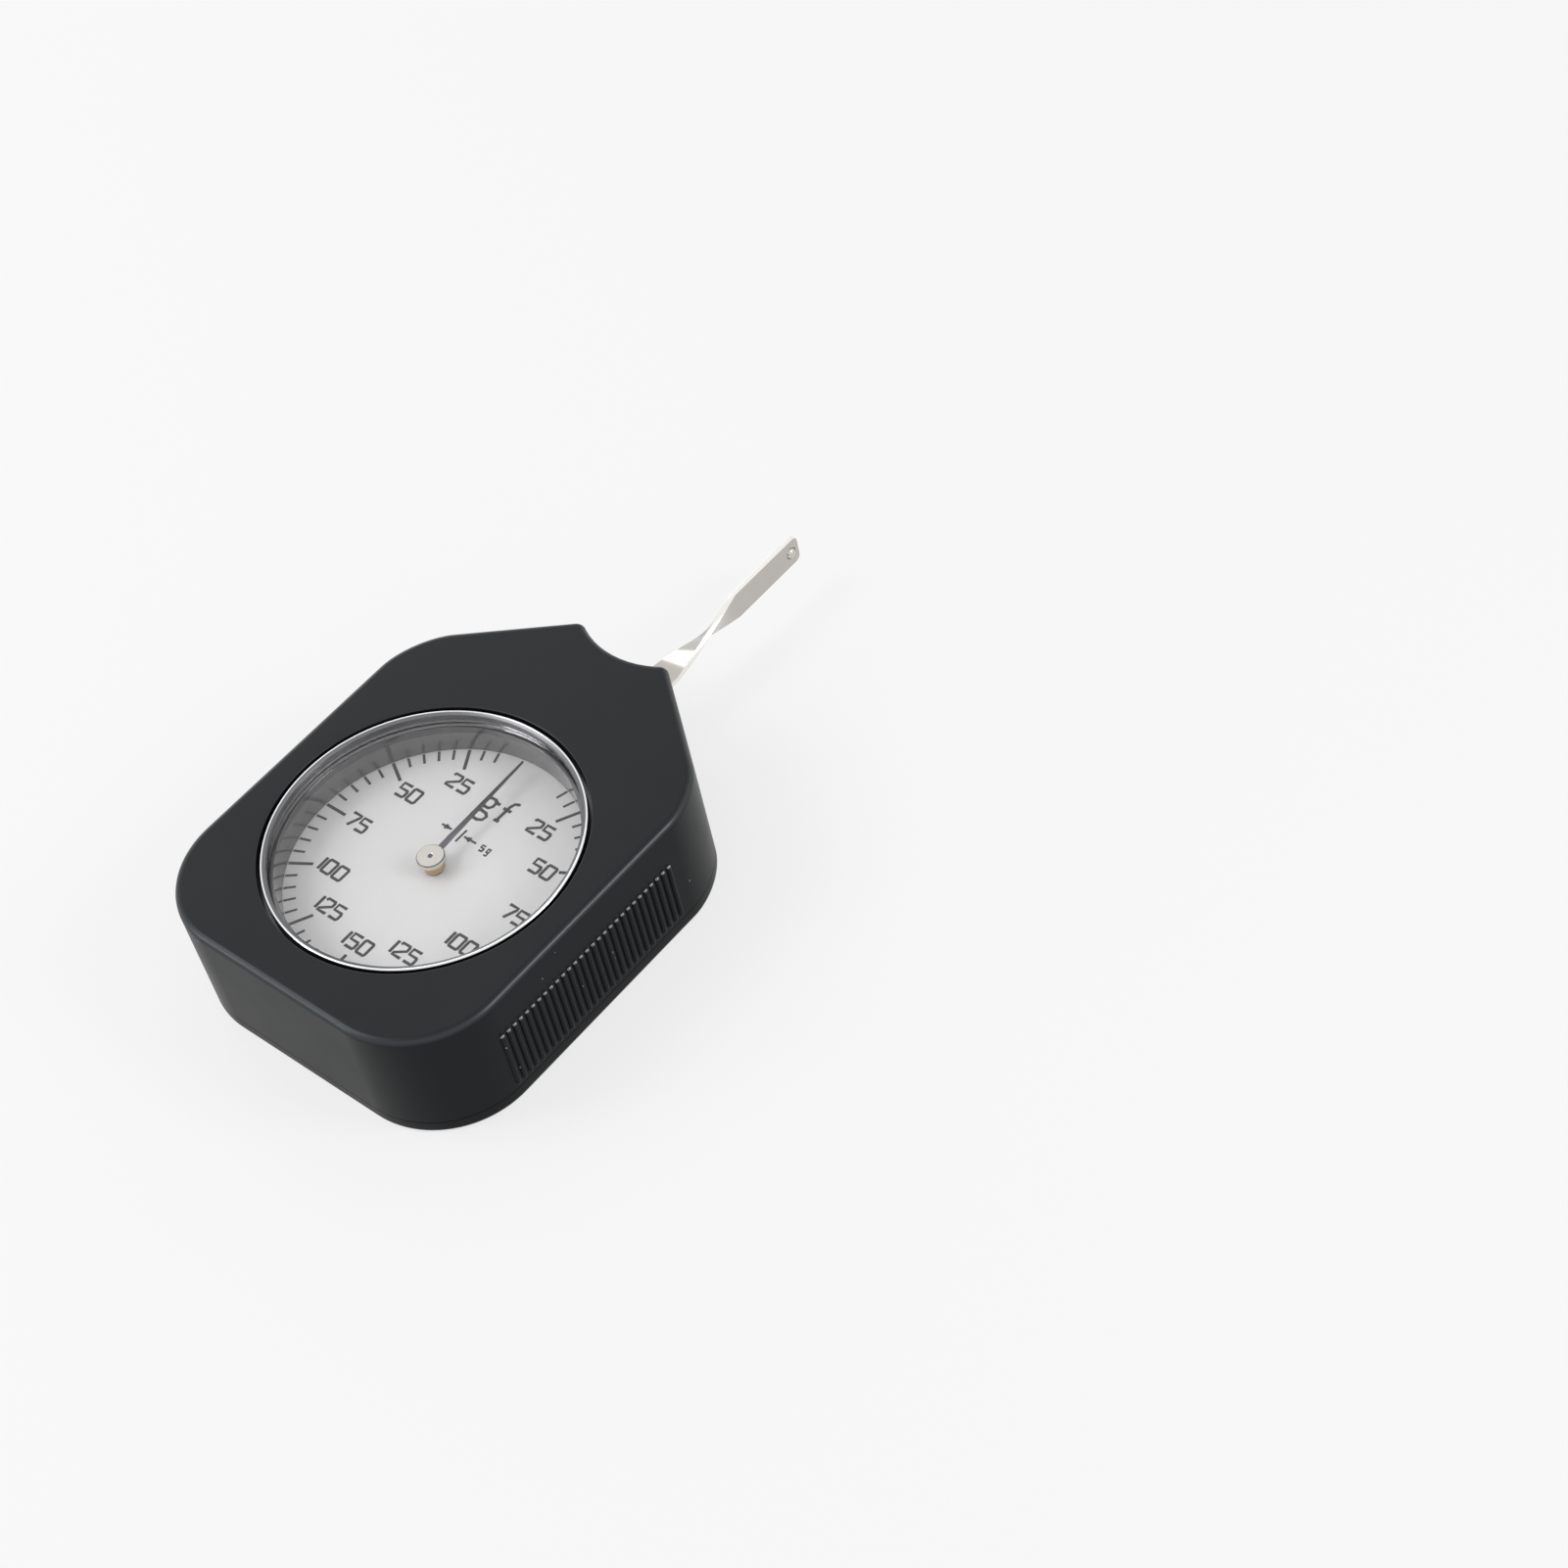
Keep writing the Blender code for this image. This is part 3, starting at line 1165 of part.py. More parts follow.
def make_lever_hub(parts, cutters, axis):
    """Turned hub: the arm seats on its flange and the sector hangs below it."""
    spigot_top = ARM_TOP_Z + SEAT_GAP
    foot = SECTOR_BOTTOM_Z - HUB_FOOT_DROP
    bore = LEVER_ARBOR_RADIUS + SEAT_GAP / 2
    flange_foot = SECTOR_TOP_Z + SEAT_GAP / 2
    profile = [
        (HUB_SPIGOT_RADIUS, spigot_top), (HUB_SPIGOT_RADIUS, HUB_FLANGE_TOP_Z),
        (HUB_FLANGE_RADIUS, HUB_FLANGE_TOP_Z), (HUB_FLANGE_RADIUS, flange_foot),
        (HUB_FOOT_RADIUS, flange_foot), (HUB_FOOT_RADIUS, foot), (bore, foot), (bore, spigot_top),
    ]
    hub = turned_solid("lever_hub", profile, MEDIUM_STEPS, parts, axis, closed=True)
    drill = cylinder("rivet_drill", RIVET_RADIUS + SEAT_GAP / 2, SECTOR_BOTTOM_Z, spigot_top,
                     SMALL_STEPS, parts)
    drills = grouped_copies("rivet_drills", drill, rivet_places(), parts)
    drills.location = (0.0, LEVER_AXIS_Y, 0.0)
    combine(hub, drills, "DIFFERENCE", cutters)
    apply_modifiers(hub)
    shade_round(hub)
    add_finish(hub, BRASS)


def make_arm_rivets(parts, axis):
    """Two rivets that hold arm, flange and sector together."""
    head_foot = ARM_TOP_Z + SEAT_GAP / 2
    head_top = head_foot + RIVET_HEAD_HEIGHT
    profile = rod_profile(
        [(RIVET_HEAD_RADIUS * RIVET_CROWN_SHARE, head_top), (RIVET_HEAD_RADIUS, head_foot),
         (RIVET_RADIUS, head_foot), (RIVET_RADIUS, SECTOR_BOTTOM_Z)],
        head_top, SECTOR_BOTTOM_Z,
    )
    rivet = turned_solid("arm_rivet", profile, SMALL_STEPS, parts)
    shade_round(rivet)
    add_finish(rivet, SATIN_STEEL)
    place_copies(rivet, rivet_places(), parts, axis)


def make_counterweight(parts, axis):
    """Disc on the spoke of the sector that balances the arm."""
    foot = SECTOR_TOP_Z + SEAT_GAP / 2
    top = foot + COUNTERWEIGHT_HEIGHT
    y = -SECTOR_PITCH_RADIUS * COUNTERWEIGHT_SHARE
    profile = rod_profile([(COUNTERWEIGHT_RADIUS, top), (COUNTERWEIGHT_RADIUS, foot)], top, foot)
    weight = turned_solid("counterweight", profile, MEDIUM_STEPS, parts, axis)
    weight.location = (0.0, y, 0.0)
    shade_round(weight)
    add_finish(weight, BRASS)


def make_lever_arbor(parts, axis):
    """Steel arbor with a journal at each end."""
    top = FRONT_PLATE_TOP_Z - SEAT_GAP
    bottom = REAR_PLATE_BOTTOM_Z + SEAT_GAP
    shoulder_top = FRONT_PLATE_BOTTOM_Z - SEAT_GAP
    shoulder_foot = REAR_PLATE_TOP_Z + SEAT_GAP
    profile = rod_profile(
        [(LEVER_JOURNAL_RADIUS, top), (LEVER_JOURNAL_RADIUS, shoulder_top),
         (LEVER_ARBOR_RADIUS, shoulder_top), (LEVER_ARBOR_RADIUS, shoulder_foot),
         (LEVER_JOURNAL_RADIUS, shoulder_foot), (LEVER_JOURNAL_RADIUS, bottom)],
        top, bottom,
    )
    arbor = turned_solid("lever_arbor", profile, SMALL_STEPS, parts, axis)
    shade_round(arbor)
    add_finish(arbor, SATIN_STEEL)


# Pointer

def make_pointer_arbor(parts, axis):
    """Thin arbor from the rear plate up through the dial to the cap."""
    tip = CAP_TOP_Z - CAP_DIMPLE
    bottom = REAR_PLATE_BOTTOM_Z + SEAT_GAP
    shoulder = REAR_PLATE_TOP_Z + SEAT_GAP
    neck = DIAL_TOP_Z + BOSS_LIFT - SEAT_GAP
    profile = rod_profile(
        [(POINTER_END_RADIUS, tip), (POINTER_END_RADIUS, NEEDLE_TOP_Z),
         (POINTER_JOURNAL_RADIUS, NEEDLE_TOP_Z), (POINTER_JOURNAL_RADIUS, neck),
         (POINTER_ARBOR_RADIUS, neck), (POINTER_ARBOR_RADIUS, shoulder),
         (POINTER_JOURNAL_RADIUS, shoulder), (POINTER_JOURNAL_RADIUS, bottom)],
        tip, bottom,
    )
    arbor = turned_solid("pointer_arbor", profile, SMALL_STEPS, parts, axis)
    shade_round(arbor)
    add_finish(arbor, SATIN_STEEL)


def make_pinion(parts, axis):
    """Ten-leaf pinion, longer than the sector is thick."""
    middle = (SECTOR_BOTTOM_Z + SECTOR_TOP_Z) / 2
    outlines = [pinion_outline()]
    outlines += holes([(0.0, 0.0)], POINTER_ARBOR_RADIUS + SEAT_GAP / 2)
    pinion = flat_solid("pinion", outlines, middle - PINION_LENGTH / 2, PINION_LENGTH, parts, axis)
    add_finish(pinion, SATIN_STEEL)


def needle_outline():
    """Tapered needle with a round eye."""
    root, tip = NEEDLE_ROOT_WIDTH / 2, NEEDLE_TIP_WIDTH / 2
    eye_deg = math.degrees(math.asin(root / NEEDLE_EYE_RADIUS))
    eye = arc((0.0, 0.0), NEEDLE_EYE_RADIUS, 90.0 + eye_deg - 360.0, 90.0 - eye_deg)
    end = NEEDLE_REACH
    knee = end / 2
    knee_half = root * NEEDLE_KNEE_SHARE
    return eye + [(knee_half, knee), (tip, end - tip), (0.0, end), (-tip, end - tip),
                  (-knee_half, knee)]


def make_pointer(parts, cutters, axis):
    """Needle, its brass boss and the bright notched cap that covers its eye.

    At rest the needle stands a hair to the left of the middle of the scale.
    """
    bore = POINTER_JOURNAL_RADIUS + SEAT_GAP / 2
    outlines = [needle_outline()] + holes([(0.0, 0.0)], bore)
    needle = flat_solid("pointer", outlines, NEEDLE_FOOT_Z, NEEDLE_THICKNESS, parts, axis)
    rest = Matrix.Rotation(math.radians(NEEDLE_REST_ANGLE), 4, "Z")
    needle.data.transform(rest)
    add_finish(needle, BLUED_STEEL)
    boss = turned_solid("pointer_boss", tube_profile(BOSS_RADIUS, bore, BOSS_TOP_Z,
                                                     DIAL_TOP_Z + BOSS_LIFT),
                        MEDIUM_STEPS, parts, axis, closed=True)
    shade_round(boss)
    add_finish(boss, BRASS)
    cap_foot = CAP_TOP_Z - CAP_HEIGHT
    inside = CAP_RADIUS - CAP_WALL
    hole = POINTER_END_RADIUS + SEAT_GAP / 2
    profile = [
        (CAP_RADIUS - CAP_EDGE, CAP_TOP_Z), (CAP_RADIUS, CAP_TOP_Z - CAP_EDGE),
        (CAP_RADIUS, cap_foot), (inside, cap_foot), (inside, CAP_ROOF_Z), (hole, CAP_ROOF_Z),
        (hole, CAP_TOP_Z),
    ]
    cap = turned_solid("pointer_cap", profile, MEDIUM_STEPS, parts, axis, closed=True)
    notch_half = NEEDLE_ROOT_WIDTH / 2 + SEAT_GAP / 2
    notch = box("cap_notch", (-notch_half, 0.0, cap_foot - CUT_OVERRUN),
                (notch_half, CAP_RADIUS + CUT_OVERRUN, CAP_ROOF_Z), parts)
    combine(cap, notch, "DIFFERENCE", cutters)
    apply_modifiers(cap)
    cap.data.transform(rest)
    shade_round(cap)
    add_finish(cap, NICKEL)


# Springs

def spring_levels(width):
    """Bottom and top of a spring strip midway between the arm and the front plate."""
    return SPRING_LEVEL_Z - width / 2, SPRING_LEVEL_Z + width / 2


def spiral_inner_radius(arbor_radius, thickness):
    """Radius at which a spiral leaves its collet."""
    return arbor_radius + COLLET_WALL + SEAT_GAP + thickness / 2


def spiral_points(inner, pitch, turns, start_deg):
    """Points along a flat spiral that opens at a steady rate."""
    count = round(SPIRAL_STEPS * turns)
    return [
        polar(inner + pitch * turns * i / count, start_deg + 360.0 * turns * i / count)
        for i in range(count + 1)
    ]


def least_spiral_gap(points, thickness):
    """Least clear distance between one turn and the next, measured on the points."""
    gaps = []
    for index in range(len(points) - SPIRAL_STEPS):
        here, out = Vector(points[index]), Vector(points[index + SPIRAL_STEPS])
        gaps.append((out - here).length - thickness)
    return min(gaps)


def make_spiral(name, centre, points, width, thickness, parts):
    """Strip wound on edge: a ribbon raised from the spiral line and given its thickness."""
    low, high = spring_levels(width)
    shape = bmesh.new()
    line = [shape.verts.new((x, y, low)) for x, y in points]
    edges = [shape.edges.new(pair) for pair in zip(line, line[1:])]
    raised = bmesh.ops.extrude_edge_only(shape, edges=edges)["geom"]
    top = [item for item in raised if isinstance(item, bmesh.types.BMVert)]
    bmesh.ops.translate(shape, verts=top, vec=(centre[0], centre[1], high - low))
    bmesh.ops.translate(shape, verts=line, vec=(centre[0], centre[1], 0.0))
    mesh = bpy.data.meshes.new(name)
    shape.to_mesh(mesh)
    shape.free()
    spring = mesh_object(name, mesh, parts)
    wall = spring.modifiers.new("strip", "SOLIDIFY")
    wall.thickness = thickness
    wall.offset = 0.0
    wall.use_even_offset = True
    apply_modifiers(spring)
    clean = bmesh.new()
    clean.from_mesh(spring.data)
    bmesh.ops.recalc_face_normals(clean, faces=clean.faces)
    clean.to_mesh(spring.data)
    clean.free()
    add_finish(spring, BLUED_STEEL)
    print(name, "least gap between turns, mm:", round(least_spiral_gap(points, thickness) * 1000, 3))


def spiral_stud_place(centre, arbor_radius, thickness, pitch, turns, end_deg):
    """Place of the stud that holds the outer end of a spiral."""
    reach = spiral_inner_radius(arbor_radius, thickness) + pitch * turns
    lead = math.degrees((STUD_RADIUS + STUD_ROOM) / reach)
    return polar(reach, end_deg + lead, centre)


def spring_stud_place():
    """Stud of the measuring spring."""
    return spiral_stud_place((0.0, LEVER_AXIS_Y), LEVER_ARBOR_RADIUS, SPRING_THICKNESS,
                             SPRING_PITCH, SPRING_TURNS, SPRING_END_DEG)


def hairspring_stud_place():
    """Stud of the hairspring."""
    return spiral_stud_place((0.0, 0.0), POINTER_ARBOR_RADIUS, HAIRSPRING_THICKNESS,
                             HAIRSPRING_PITCH, HAIRSPRING_TURNS, HAIRSPRING_END_DEG)


def make_springs(parts, lever_axis, pointer_axis):
    """Both spirals with their studs, and the collets that turn with the arbors."""
    inner = spiral_inner_radius(LEVER_ARBOR_RADIUS, SPRING_THICKNESS)
    points = spiral_points(inner, SPRING_PITCH, SPRING_TURNS, SPRING_END_DEG - 360.0 * SPRING_TURNS)
    make_spiral("measuring_spring", (0.0, LEVER_AXIS_Y), points, SPRING_WIDTH, SPRING_THICKNESS, parts)
    inner = spiral_inner_radius(POINTER_ARBOR_RADIUS, HAIRSPRING_THICKNESS)
    points = spiral_points(inner, HAIRSPRING_PITCH, HAIRSPRING_TURNS,
                           HAIRSPRING_END_DEG - 360.0 * HAIRSPRING_TURNS)
    make_spiral("hairspring", (0.0, 0.0), points, HAIRSPRING_WIDTH, HAIRSPRING_THICKNESS, parts)
    make_stud("spring_stud", spring_stud_place(), SPRING_WIDTH, parts)
    make_stud("hairspring_stud", hairspring_stud_place(), HAIRSPRING_WIDTH, parts)
    make_collet("spring_collet", LEVER_ARBOR_RADIUS, lever_axis, parts)
    make_collet("hairspring_collet", POINTER_ARBOR_RADIUS, pointer_axis, parts)


def make_stud(name, place, width, parts):
    """Pin that hangs from the front plate beside the end of a spring."""
    low = spring_levels(width)[0] - SEAT_GAP
    stud = cylinder(name, STUD_RADIUS, low, FRONT_PLATE_TOP_Z - SEAT_GAP, SMALL_STEPS, parts)
    stud.location = (*place, 0.0)
    shade_round(stud)
    add_finish(stud, BRASS)


def make_collet(name, arbor_radius, axis, parts):
    """Ring on an arbor that holds the inner end of a spring."""
    low, high = spring_levels(COLLET_HEIGHT)
    profile = tube_profile(arbor_radius + COLLET_WALL, arbor_radius + SEAT_GAP / 2, high, low)
    collet = turned_solid(name, profile, SMALL_STEPS, parts, axis, closed=True)
    shade_round(collet)
    add_finish(collet, BRASS)


def make_stop_pins(parts):
    """Two pins that limit the swing of the arm."""
    top = FRONT_PLATE_TOP_Z - SEAT_GAP
    pin = cylinder("stop_pin", STOP_PIN_RADIUS, ARM_BOTTOM_Z, top, SMALL_STEPS, parts)
    shade_round(pin)
    add_finish(pin, SATIN_STEEL)
    place_copies(pin, stop_pin_places(), parts)


def build():
    """Make the whole gauge."""
    clear_scene()
    parts = new_collection("dial_tension_gauge")
    cutters = new_collection("cutters")
    lever_axis = add_empty("lever_axis", (0.0, LEVER_AXIS_Y, 0.0), parts)
    pointer_axis = add_empty("pointer_axis", (0.0, 0.0, 0.0), parts)
    bpy.context.view_layer.update()
    make_front_housing(parts, cutters)
    make_rear_cover(parts, cutters)
    make_cover_screws(parts, cutters)
    make_bezel_ring(parts)
    make_crystal(parts)
    make_spacer_ring(parts)
    make_dial(parts)
    make_front_plate(parts)
    make_rear_plate(parts)
    make_pillars(parts)
    make_movement_screws(parts)
    make_bushes(parts)
    make_lever_arbor(parts, lever_axis)
    make_lever_hub(parts, cutters, lever_axis)
    make_measuring_arm(parts, cutters, lever_axis)
    make_contact_ball(parts, lever_axis)
    make_sector_gear(parts, lever_axis)
    make_counterweight(parts, lever_axis)
    make_arm_rivets(parts, lever_axis)
    make_pointer_arbor(parts, pointer_axis)
    make_pinion(parts, pointer_axis)
    make_pointer(parts, cutters, pointer_axis)
    make_springs(parts, lever_axis, pointer_axis)
    make_stop_pins(parts)
    cutters.hide_viewport = True


build()
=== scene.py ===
# %% [markdown]
# A pocket dial tension gauge lies on its back: a black moulded body, a round
# window with a silver dial, and a polished steel arm that leaves the nose.
# The construction comes ready made as a fixed frame.  This file gives it its
# looks, and every new piece stands where the frame's own solid stands.

# %% Load the frame
import math

import bmesh
import bpy
from mathutils import Matrix, Vector


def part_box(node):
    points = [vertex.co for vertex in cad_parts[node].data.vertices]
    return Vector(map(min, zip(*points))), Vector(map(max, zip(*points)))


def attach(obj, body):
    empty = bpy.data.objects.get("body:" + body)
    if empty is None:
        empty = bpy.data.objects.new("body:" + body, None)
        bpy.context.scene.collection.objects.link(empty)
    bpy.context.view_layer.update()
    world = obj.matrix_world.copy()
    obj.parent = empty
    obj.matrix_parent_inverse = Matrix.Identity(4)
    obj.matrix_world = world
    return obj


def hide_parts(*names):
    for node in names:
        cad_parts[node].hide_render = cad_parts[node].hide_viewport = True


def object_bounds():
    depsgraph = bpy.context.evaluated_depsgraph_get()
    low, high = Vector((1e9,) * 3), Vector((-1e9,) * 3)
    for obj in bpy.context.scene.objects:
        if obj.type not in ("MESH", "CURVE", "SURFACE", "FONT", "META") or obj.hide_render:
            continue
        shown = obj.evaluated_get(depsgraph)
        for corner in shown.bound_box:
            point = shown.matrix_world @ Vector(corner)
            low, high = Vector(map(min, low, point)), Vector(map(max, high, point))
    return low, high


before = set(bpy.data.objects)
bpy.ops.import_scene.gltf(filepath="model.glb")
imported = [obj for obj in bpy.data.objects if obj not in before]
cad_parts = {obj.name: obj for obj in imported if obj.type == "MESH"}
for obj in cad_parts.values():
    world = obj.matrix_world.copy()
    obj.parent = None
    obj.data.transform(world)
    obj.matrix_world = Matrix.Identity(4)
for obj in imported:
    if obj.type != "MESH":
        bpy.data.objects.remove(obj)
frame_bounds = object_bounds()
MM = 0.001

# %% [markdown]
# Everything that is made below, from the camera to the last screw, is data
# that an object shows in the scene, so one helper does that.  Another turns a
# bmesh, which is Blender's editable mesh, into mesh data.

# %% Scene helpers
def show(name, data):
    """Put data into the scene as an object."""
    made = bpy.data.objects.new(name, data)
    bpy.context.scene.collection.objects.link(made)
    return made


def mesh_from(name, bm):
    """Store a bmesh as mesh data and free it."""
    mesh = bpy.data.meshes.new(name)
    bm.to_mesh(mesh)
    bm.free()
    return mesh


print("one millimetre is", MM, "Blender units")

# %% [markdown]
# The camera comes first, because every later choice is judged through it.
# It could be placed by eye, but the rim of the window and the marks of the
# dial fix it well: they are circles of known size, so the place, the turn and
# the focal length follow from how the photograph flattens them.

# %% Place the camera
CAMERA_PLACE = Vector((258.66, -154.66, 349.35)) * MM
CAMERA_RIGHT = Vector((0.760518, 0.630504, -0.155166))
CAMERA_UP = Vector((-0.405969, 0.648220, 0.644204))
IMAGE_SIDE_PX = 1601
FOCAL_LENGTH_PX = 3401.9
SENSOR_WIDTH_MM = 36.0
CLIP_START = 10 * MM


def add_camera():
    """The photograph's own viewpoint."""
    camera = show("camera", bpy.data.cameras.new("camera"))
    back = CAMERA_RIGHT.cross(CAMERA_UP)
    facing = Matrix((CAMERA_RIGHT, CAMERA_UP, back)).transposed()
    camera.matrix_world = Matrix.Translation(CAMERA_PLACE) @ facing.to_4x4()
    camera.data.sensor_fit = "HORIZONTAL"
    camera.data.sensor_width = SENSOR_WIDTH_MM
    camera.data.lens = FOCAL_LENGTH_PX / IMAGE_SIDE_PX * SENSOR_WIDTH_MM
    camera.data.clip_start = CLIP_START
    bpy.context.scene.camera = camera
    return camera


camera = add_camera()
print("lens:", round(camera.data.lens, 1), "mm")

# %% [markdown]
# Materials and the light of the sky are node trees.  A socket gets either a
# plain value or the output of another node, so one helper does both, and
# adding a node with all its sockets fed is then one call.

# %% Node helpers
def feed(tree, socket, value):
    """Set a socket to a plain value, or link another node's output to it."""
    if isinstance(value, bpy.types.NodeSocket):
        tree.links.new(value, socket)
    elif socket.type == "RGBA":
        socket.default_value = (*value, 1.0)
    else:
        socket.default_value = value


def add_node(tree, kind, settings=None, inputs=(), **sockets):
    """Add a shader node: inputs feed its sockets in order, sockets by name."""
    node = tree.nodes.new("ShaderNode" + kind)
    for name, value in (settings or {}).items():
        setattr(node, name, value)
    for index, value in enumerate(inputs):
        feed(tree, node.inputs[index], value)
    for name, value in sockets.items():
        feed(tree, node.inputs[name.replace("_", " ")], value)
    return node


def calculate(tree, operation, *inputs):
    """The result of a Math node."""
    return add_node(tree, "Math", {"operation": operation}, inputs).outputs["Value"]


def spread(tree, mask, low, high, start=0.0, stop=1.0, easing="LINEAR"):
    """A value that goes from low to high while the mask goes from start to stop."""
    node = add_node(tree, "MapRange", {"interpolation_type": easing}, Value=mask,
                    From_Min=start, From_Max=stop, To_Min=low, To_Max=high)
    return node.outputs["Result"]


def new_finish(name, colour, roughness, metallic=0.0, **sockets):
    """A material with the plain sockets of its Principled shader set."""
    material = bpy.data.materials.new(name)
    material.use_nodes = True
    tree = material.node_tree
    shader = tree.nodes["Principled BSDF"]
    plain = {"Base_Color": colour, "Roughness": roughness, "Metallic": metallic, **sockets}
    for socket, value in plain.items():
        feed(tree, shader.inputs[socket.replace("_", " ")], value)
    return material, tree, shader


print("helpers:", feed.__name__, add_node.__name__, calculate.__name__, spread.__name__)

# %% [markdown]
# The studio is plain: a pale floor, a soft white sky and a few square lamps.
# Black plastic, steel and the crystal are seen mostly by what they mirror, so
# each lamp stands where a rounded edge sends it to the camera, and none stands
# where the flat top or the crystal would.  What looks straight at the sky or
# the floor, or sees it in metal or glass, finds it white; all other light
# stays at a plain level.

# %% Build the studio
FLOOR_SIDE = 3.0
FLOOR_COLOUR, FLOOR_ROUGHNESS = (0.86, 0.86, 0.86), 0.7
FLOOR_WHITE_SHARE = 0.72
SKY_COLOUR = (1.0, 1.0, 1.0)
SKY_LIGHT = 0.52
LAMPS = {
    "key_lamp": {"place": (-0.40, -0.34, 0.60), "size": 0.36, "watts": 1.7},
    "side_lamp": {"place": (0.58, 0.26, 0.43), "size": 0.24, "watts": 1.3},
    "heel_lamp": {"place": (-0.62, -0.72, 0.30), "size": 0.20, "watts": 1.0},
    "edge_lamp": {"place": (-0.80, 0.36, 0.24), "size": 0.46, "watts": 1.0},
}


def seen_directly(tree, low, high):
    """A level that is high for camera, mirror and glass rays and low for others."""
    path = add_node(tree, "LightPath")
    total = path.outputs["Is Camera Ray"]
    for name in ("Is Glossy Ray", "Is Transmission Ray"):
        total = calculate(tree, "MAXIMUM", total, path.outputs[name])
    return spread(tree, total, low, high)


def add_floor():
    """A wide matt floor under the back face, partly white so that it keeps a soft shadow."""
    bm = bmesh.new()
    bmesh.ops.create_grid(bm, x_segments=1, y_segments=1, size=FLOOR_SIDE / 2)
    floor = show("floor", mesh_from("floor", bm))
    floor.location.z = frame_bounds[0][2]
    material, tree, shader = new_finish("pale_floor", FLOOR_COLOUR, FLOOR_ROUGHNESS)
    white = add_node(tree, "Emission")
    mix = add_node(tree, "MixShader", None, (seen_directly(tree, 0.0, FLOOR_WHITE_SHARE),
                                             shader.outputs["BSDF"], white.outputs["Emission"]))
    feed(tree, tree.nodes["Material Output"].inputs["Surface"], mix.outputs["Shader"])
    floor.data.materials.append(material)
    return floor


def add_lamp(name, place, size, watts):
    """A large square lamp that faces the dial, placed and sized in metres."""
    lamp = show(name, bpy.data.lights.new(name, "AREA"))
    lamp.data.shape = "SQUARE"
    lamp.data.size = size
    lamp.data.energy = watts
    lamp.location = place
    lamp.rotation_euler = Vector(place).to_track_quat("Z", "Y").to_euler()


def set_sky():
    """White where it is seen directly, and a softer light for the object."""
    world = bpy.data.worlds.new("studio")
    world.use_nodes = True
    background = world.node_tree.nodes["Background"]
    feed(world.node_tree, background.inputs["Color"], SKY_COLOUR)
    feed(world.node_tree, background.inputs["Strength"],
         seen_directly(world.node_tree, SKY_LIGHT, 1.0))
    bpy.context.scene.world = world
    bpy.context.scene.view_settings.view_transform = "Standard"


floor = add_floor()
for name, lamp in LAMPS.items():
    add_lamp(name, **lamp)
set_sky()
print("floor at", floor.location.z, "lamps:", len(LAMPS))

# %% [markdown]
# Patterns that more than one finish uses are node groups, each built once.
# They read Object coordinates, so that a pattern stays on its piece when the
# piece moves.

# %% Group helpers
def new_group(name, inputs, outputs):
    """A shader node group with float inputs (name: default) and named outputs."""
    tree = bpy.data.node_groups.new(name, "ShaderNodeTree")
    for socket, value in inputs.items():
        made = tree.interface.new_socket(socket, in_out="INPUT", socket_type="NodeSocketFloat")
        made.default_value = value
    for socket in outputs:
        tree.interface.new_socket(socket, in_out="OUTPUT", socket_type="NodeSocketFloat")
    return tree, tree.nodes.new("NodeGroupInput"), tree.nodes.new("NodeGroupOutput")


def use_group(tree, group, **sockets):
    """Place a node group in a material."""
    return add_node(tree, "Group", {"node_tree": group}, **sockets)


def own_place(tree):
    """Where a point lies on its own piece."""
    return add_node(tree, "TexCoord").outputs["Object"]


def height_of(tree, place):
    """The Z of a place or a direction."""
    return add_node(tree, "SeparateXYZ", Vector=place).outputs["Z"]


def reach_of(tree, place):
    """How far a place is from the Z axis."""
    flat = add_node(tree, "VectorMath", {"operation": "MULTIPLY"}, (place, (1.0, 1.0, 0.0)))
    reach = add_node(tree, "VectorMath", {"operation": "LENGTH"}, (flat.outputs["Vector"],))
    return reach.outputs["Value"]


print("groups so far:", len(bpy.data.node_groups))

# %% [markdown]
# Moulded plastic and matt paint are never quite smooth.  A fine noise gives
# the grain, and a wide one gives the faint clouds left by handling.

# %% Group: grain and clouds
def make_grain_group():
    """Fine grain and wide clouds, both from 0 to 1."""
    tree, start, end = new_group(
        "grain_and_clouds", {"Grain Scale": 5000.0, "Cloud Scale": 90.0}, ("Grain", "Clouds")
    )
    place = own_place(tree)
    for source, target, detail in (("Grain Scale", "Grain", 3.0), ("Cloud Scale", "Clouds", 5.0)):
        noise = add_node(tree, "TexNoise", Vector=place, Scale=start.outputs[source],
                         Detail=detail, Roughness=0.6)
        feed(tree, end.inputs[target], noise.outputs["Fac"])
    return tree


GRAIN = make_grain_group()
print("group:", GRAIN.name)

# %% [markdown]
# The photograph shows tiny pale specks of dust on the black top.  A cell
# pattern gives one point to each cell, and only the cells whose random value
# is low enough keep theirs, so the specks are sparse and unevenly spread.

# %% Group: dust specks
def make_dust_group():
    """Sparse small round specks, 1 on a speck."""
    tree, start, end = new_group(
        "dust_specks", {"Scale": 450.0, "Size": 0.05, "Share": 0.1}, ("Specks",)
    )
    cells = add_node(tree, "TexVoronoi", Vector=own_place(tree), Scale=start.outputs["Scale"])
    chance = add_node(tree, "SeparateColor", Color=cells.outputs["Color"]).outputs["Red"]
    near = calculate(tree, "LESS_THAN", cells.outputs["Distance"], start.outputs["Size"])
    kept = calculate(tree, "LESS_THAN", chance, start.outputs["Share"])
    feed(tree, end.inputs["Specks"], calculate(tree, "MULTIPLY", near, kept))
    return tree


DUST = make_dust_group()
print("group:", DUST.name)

# %% [markdown]
# A turned part keeps the marks of the tool as rings round its axis.  The
# distance from the axis and the height are read as one length, and a noise
# along that length alone gives rings on flat faces and on walls alike.

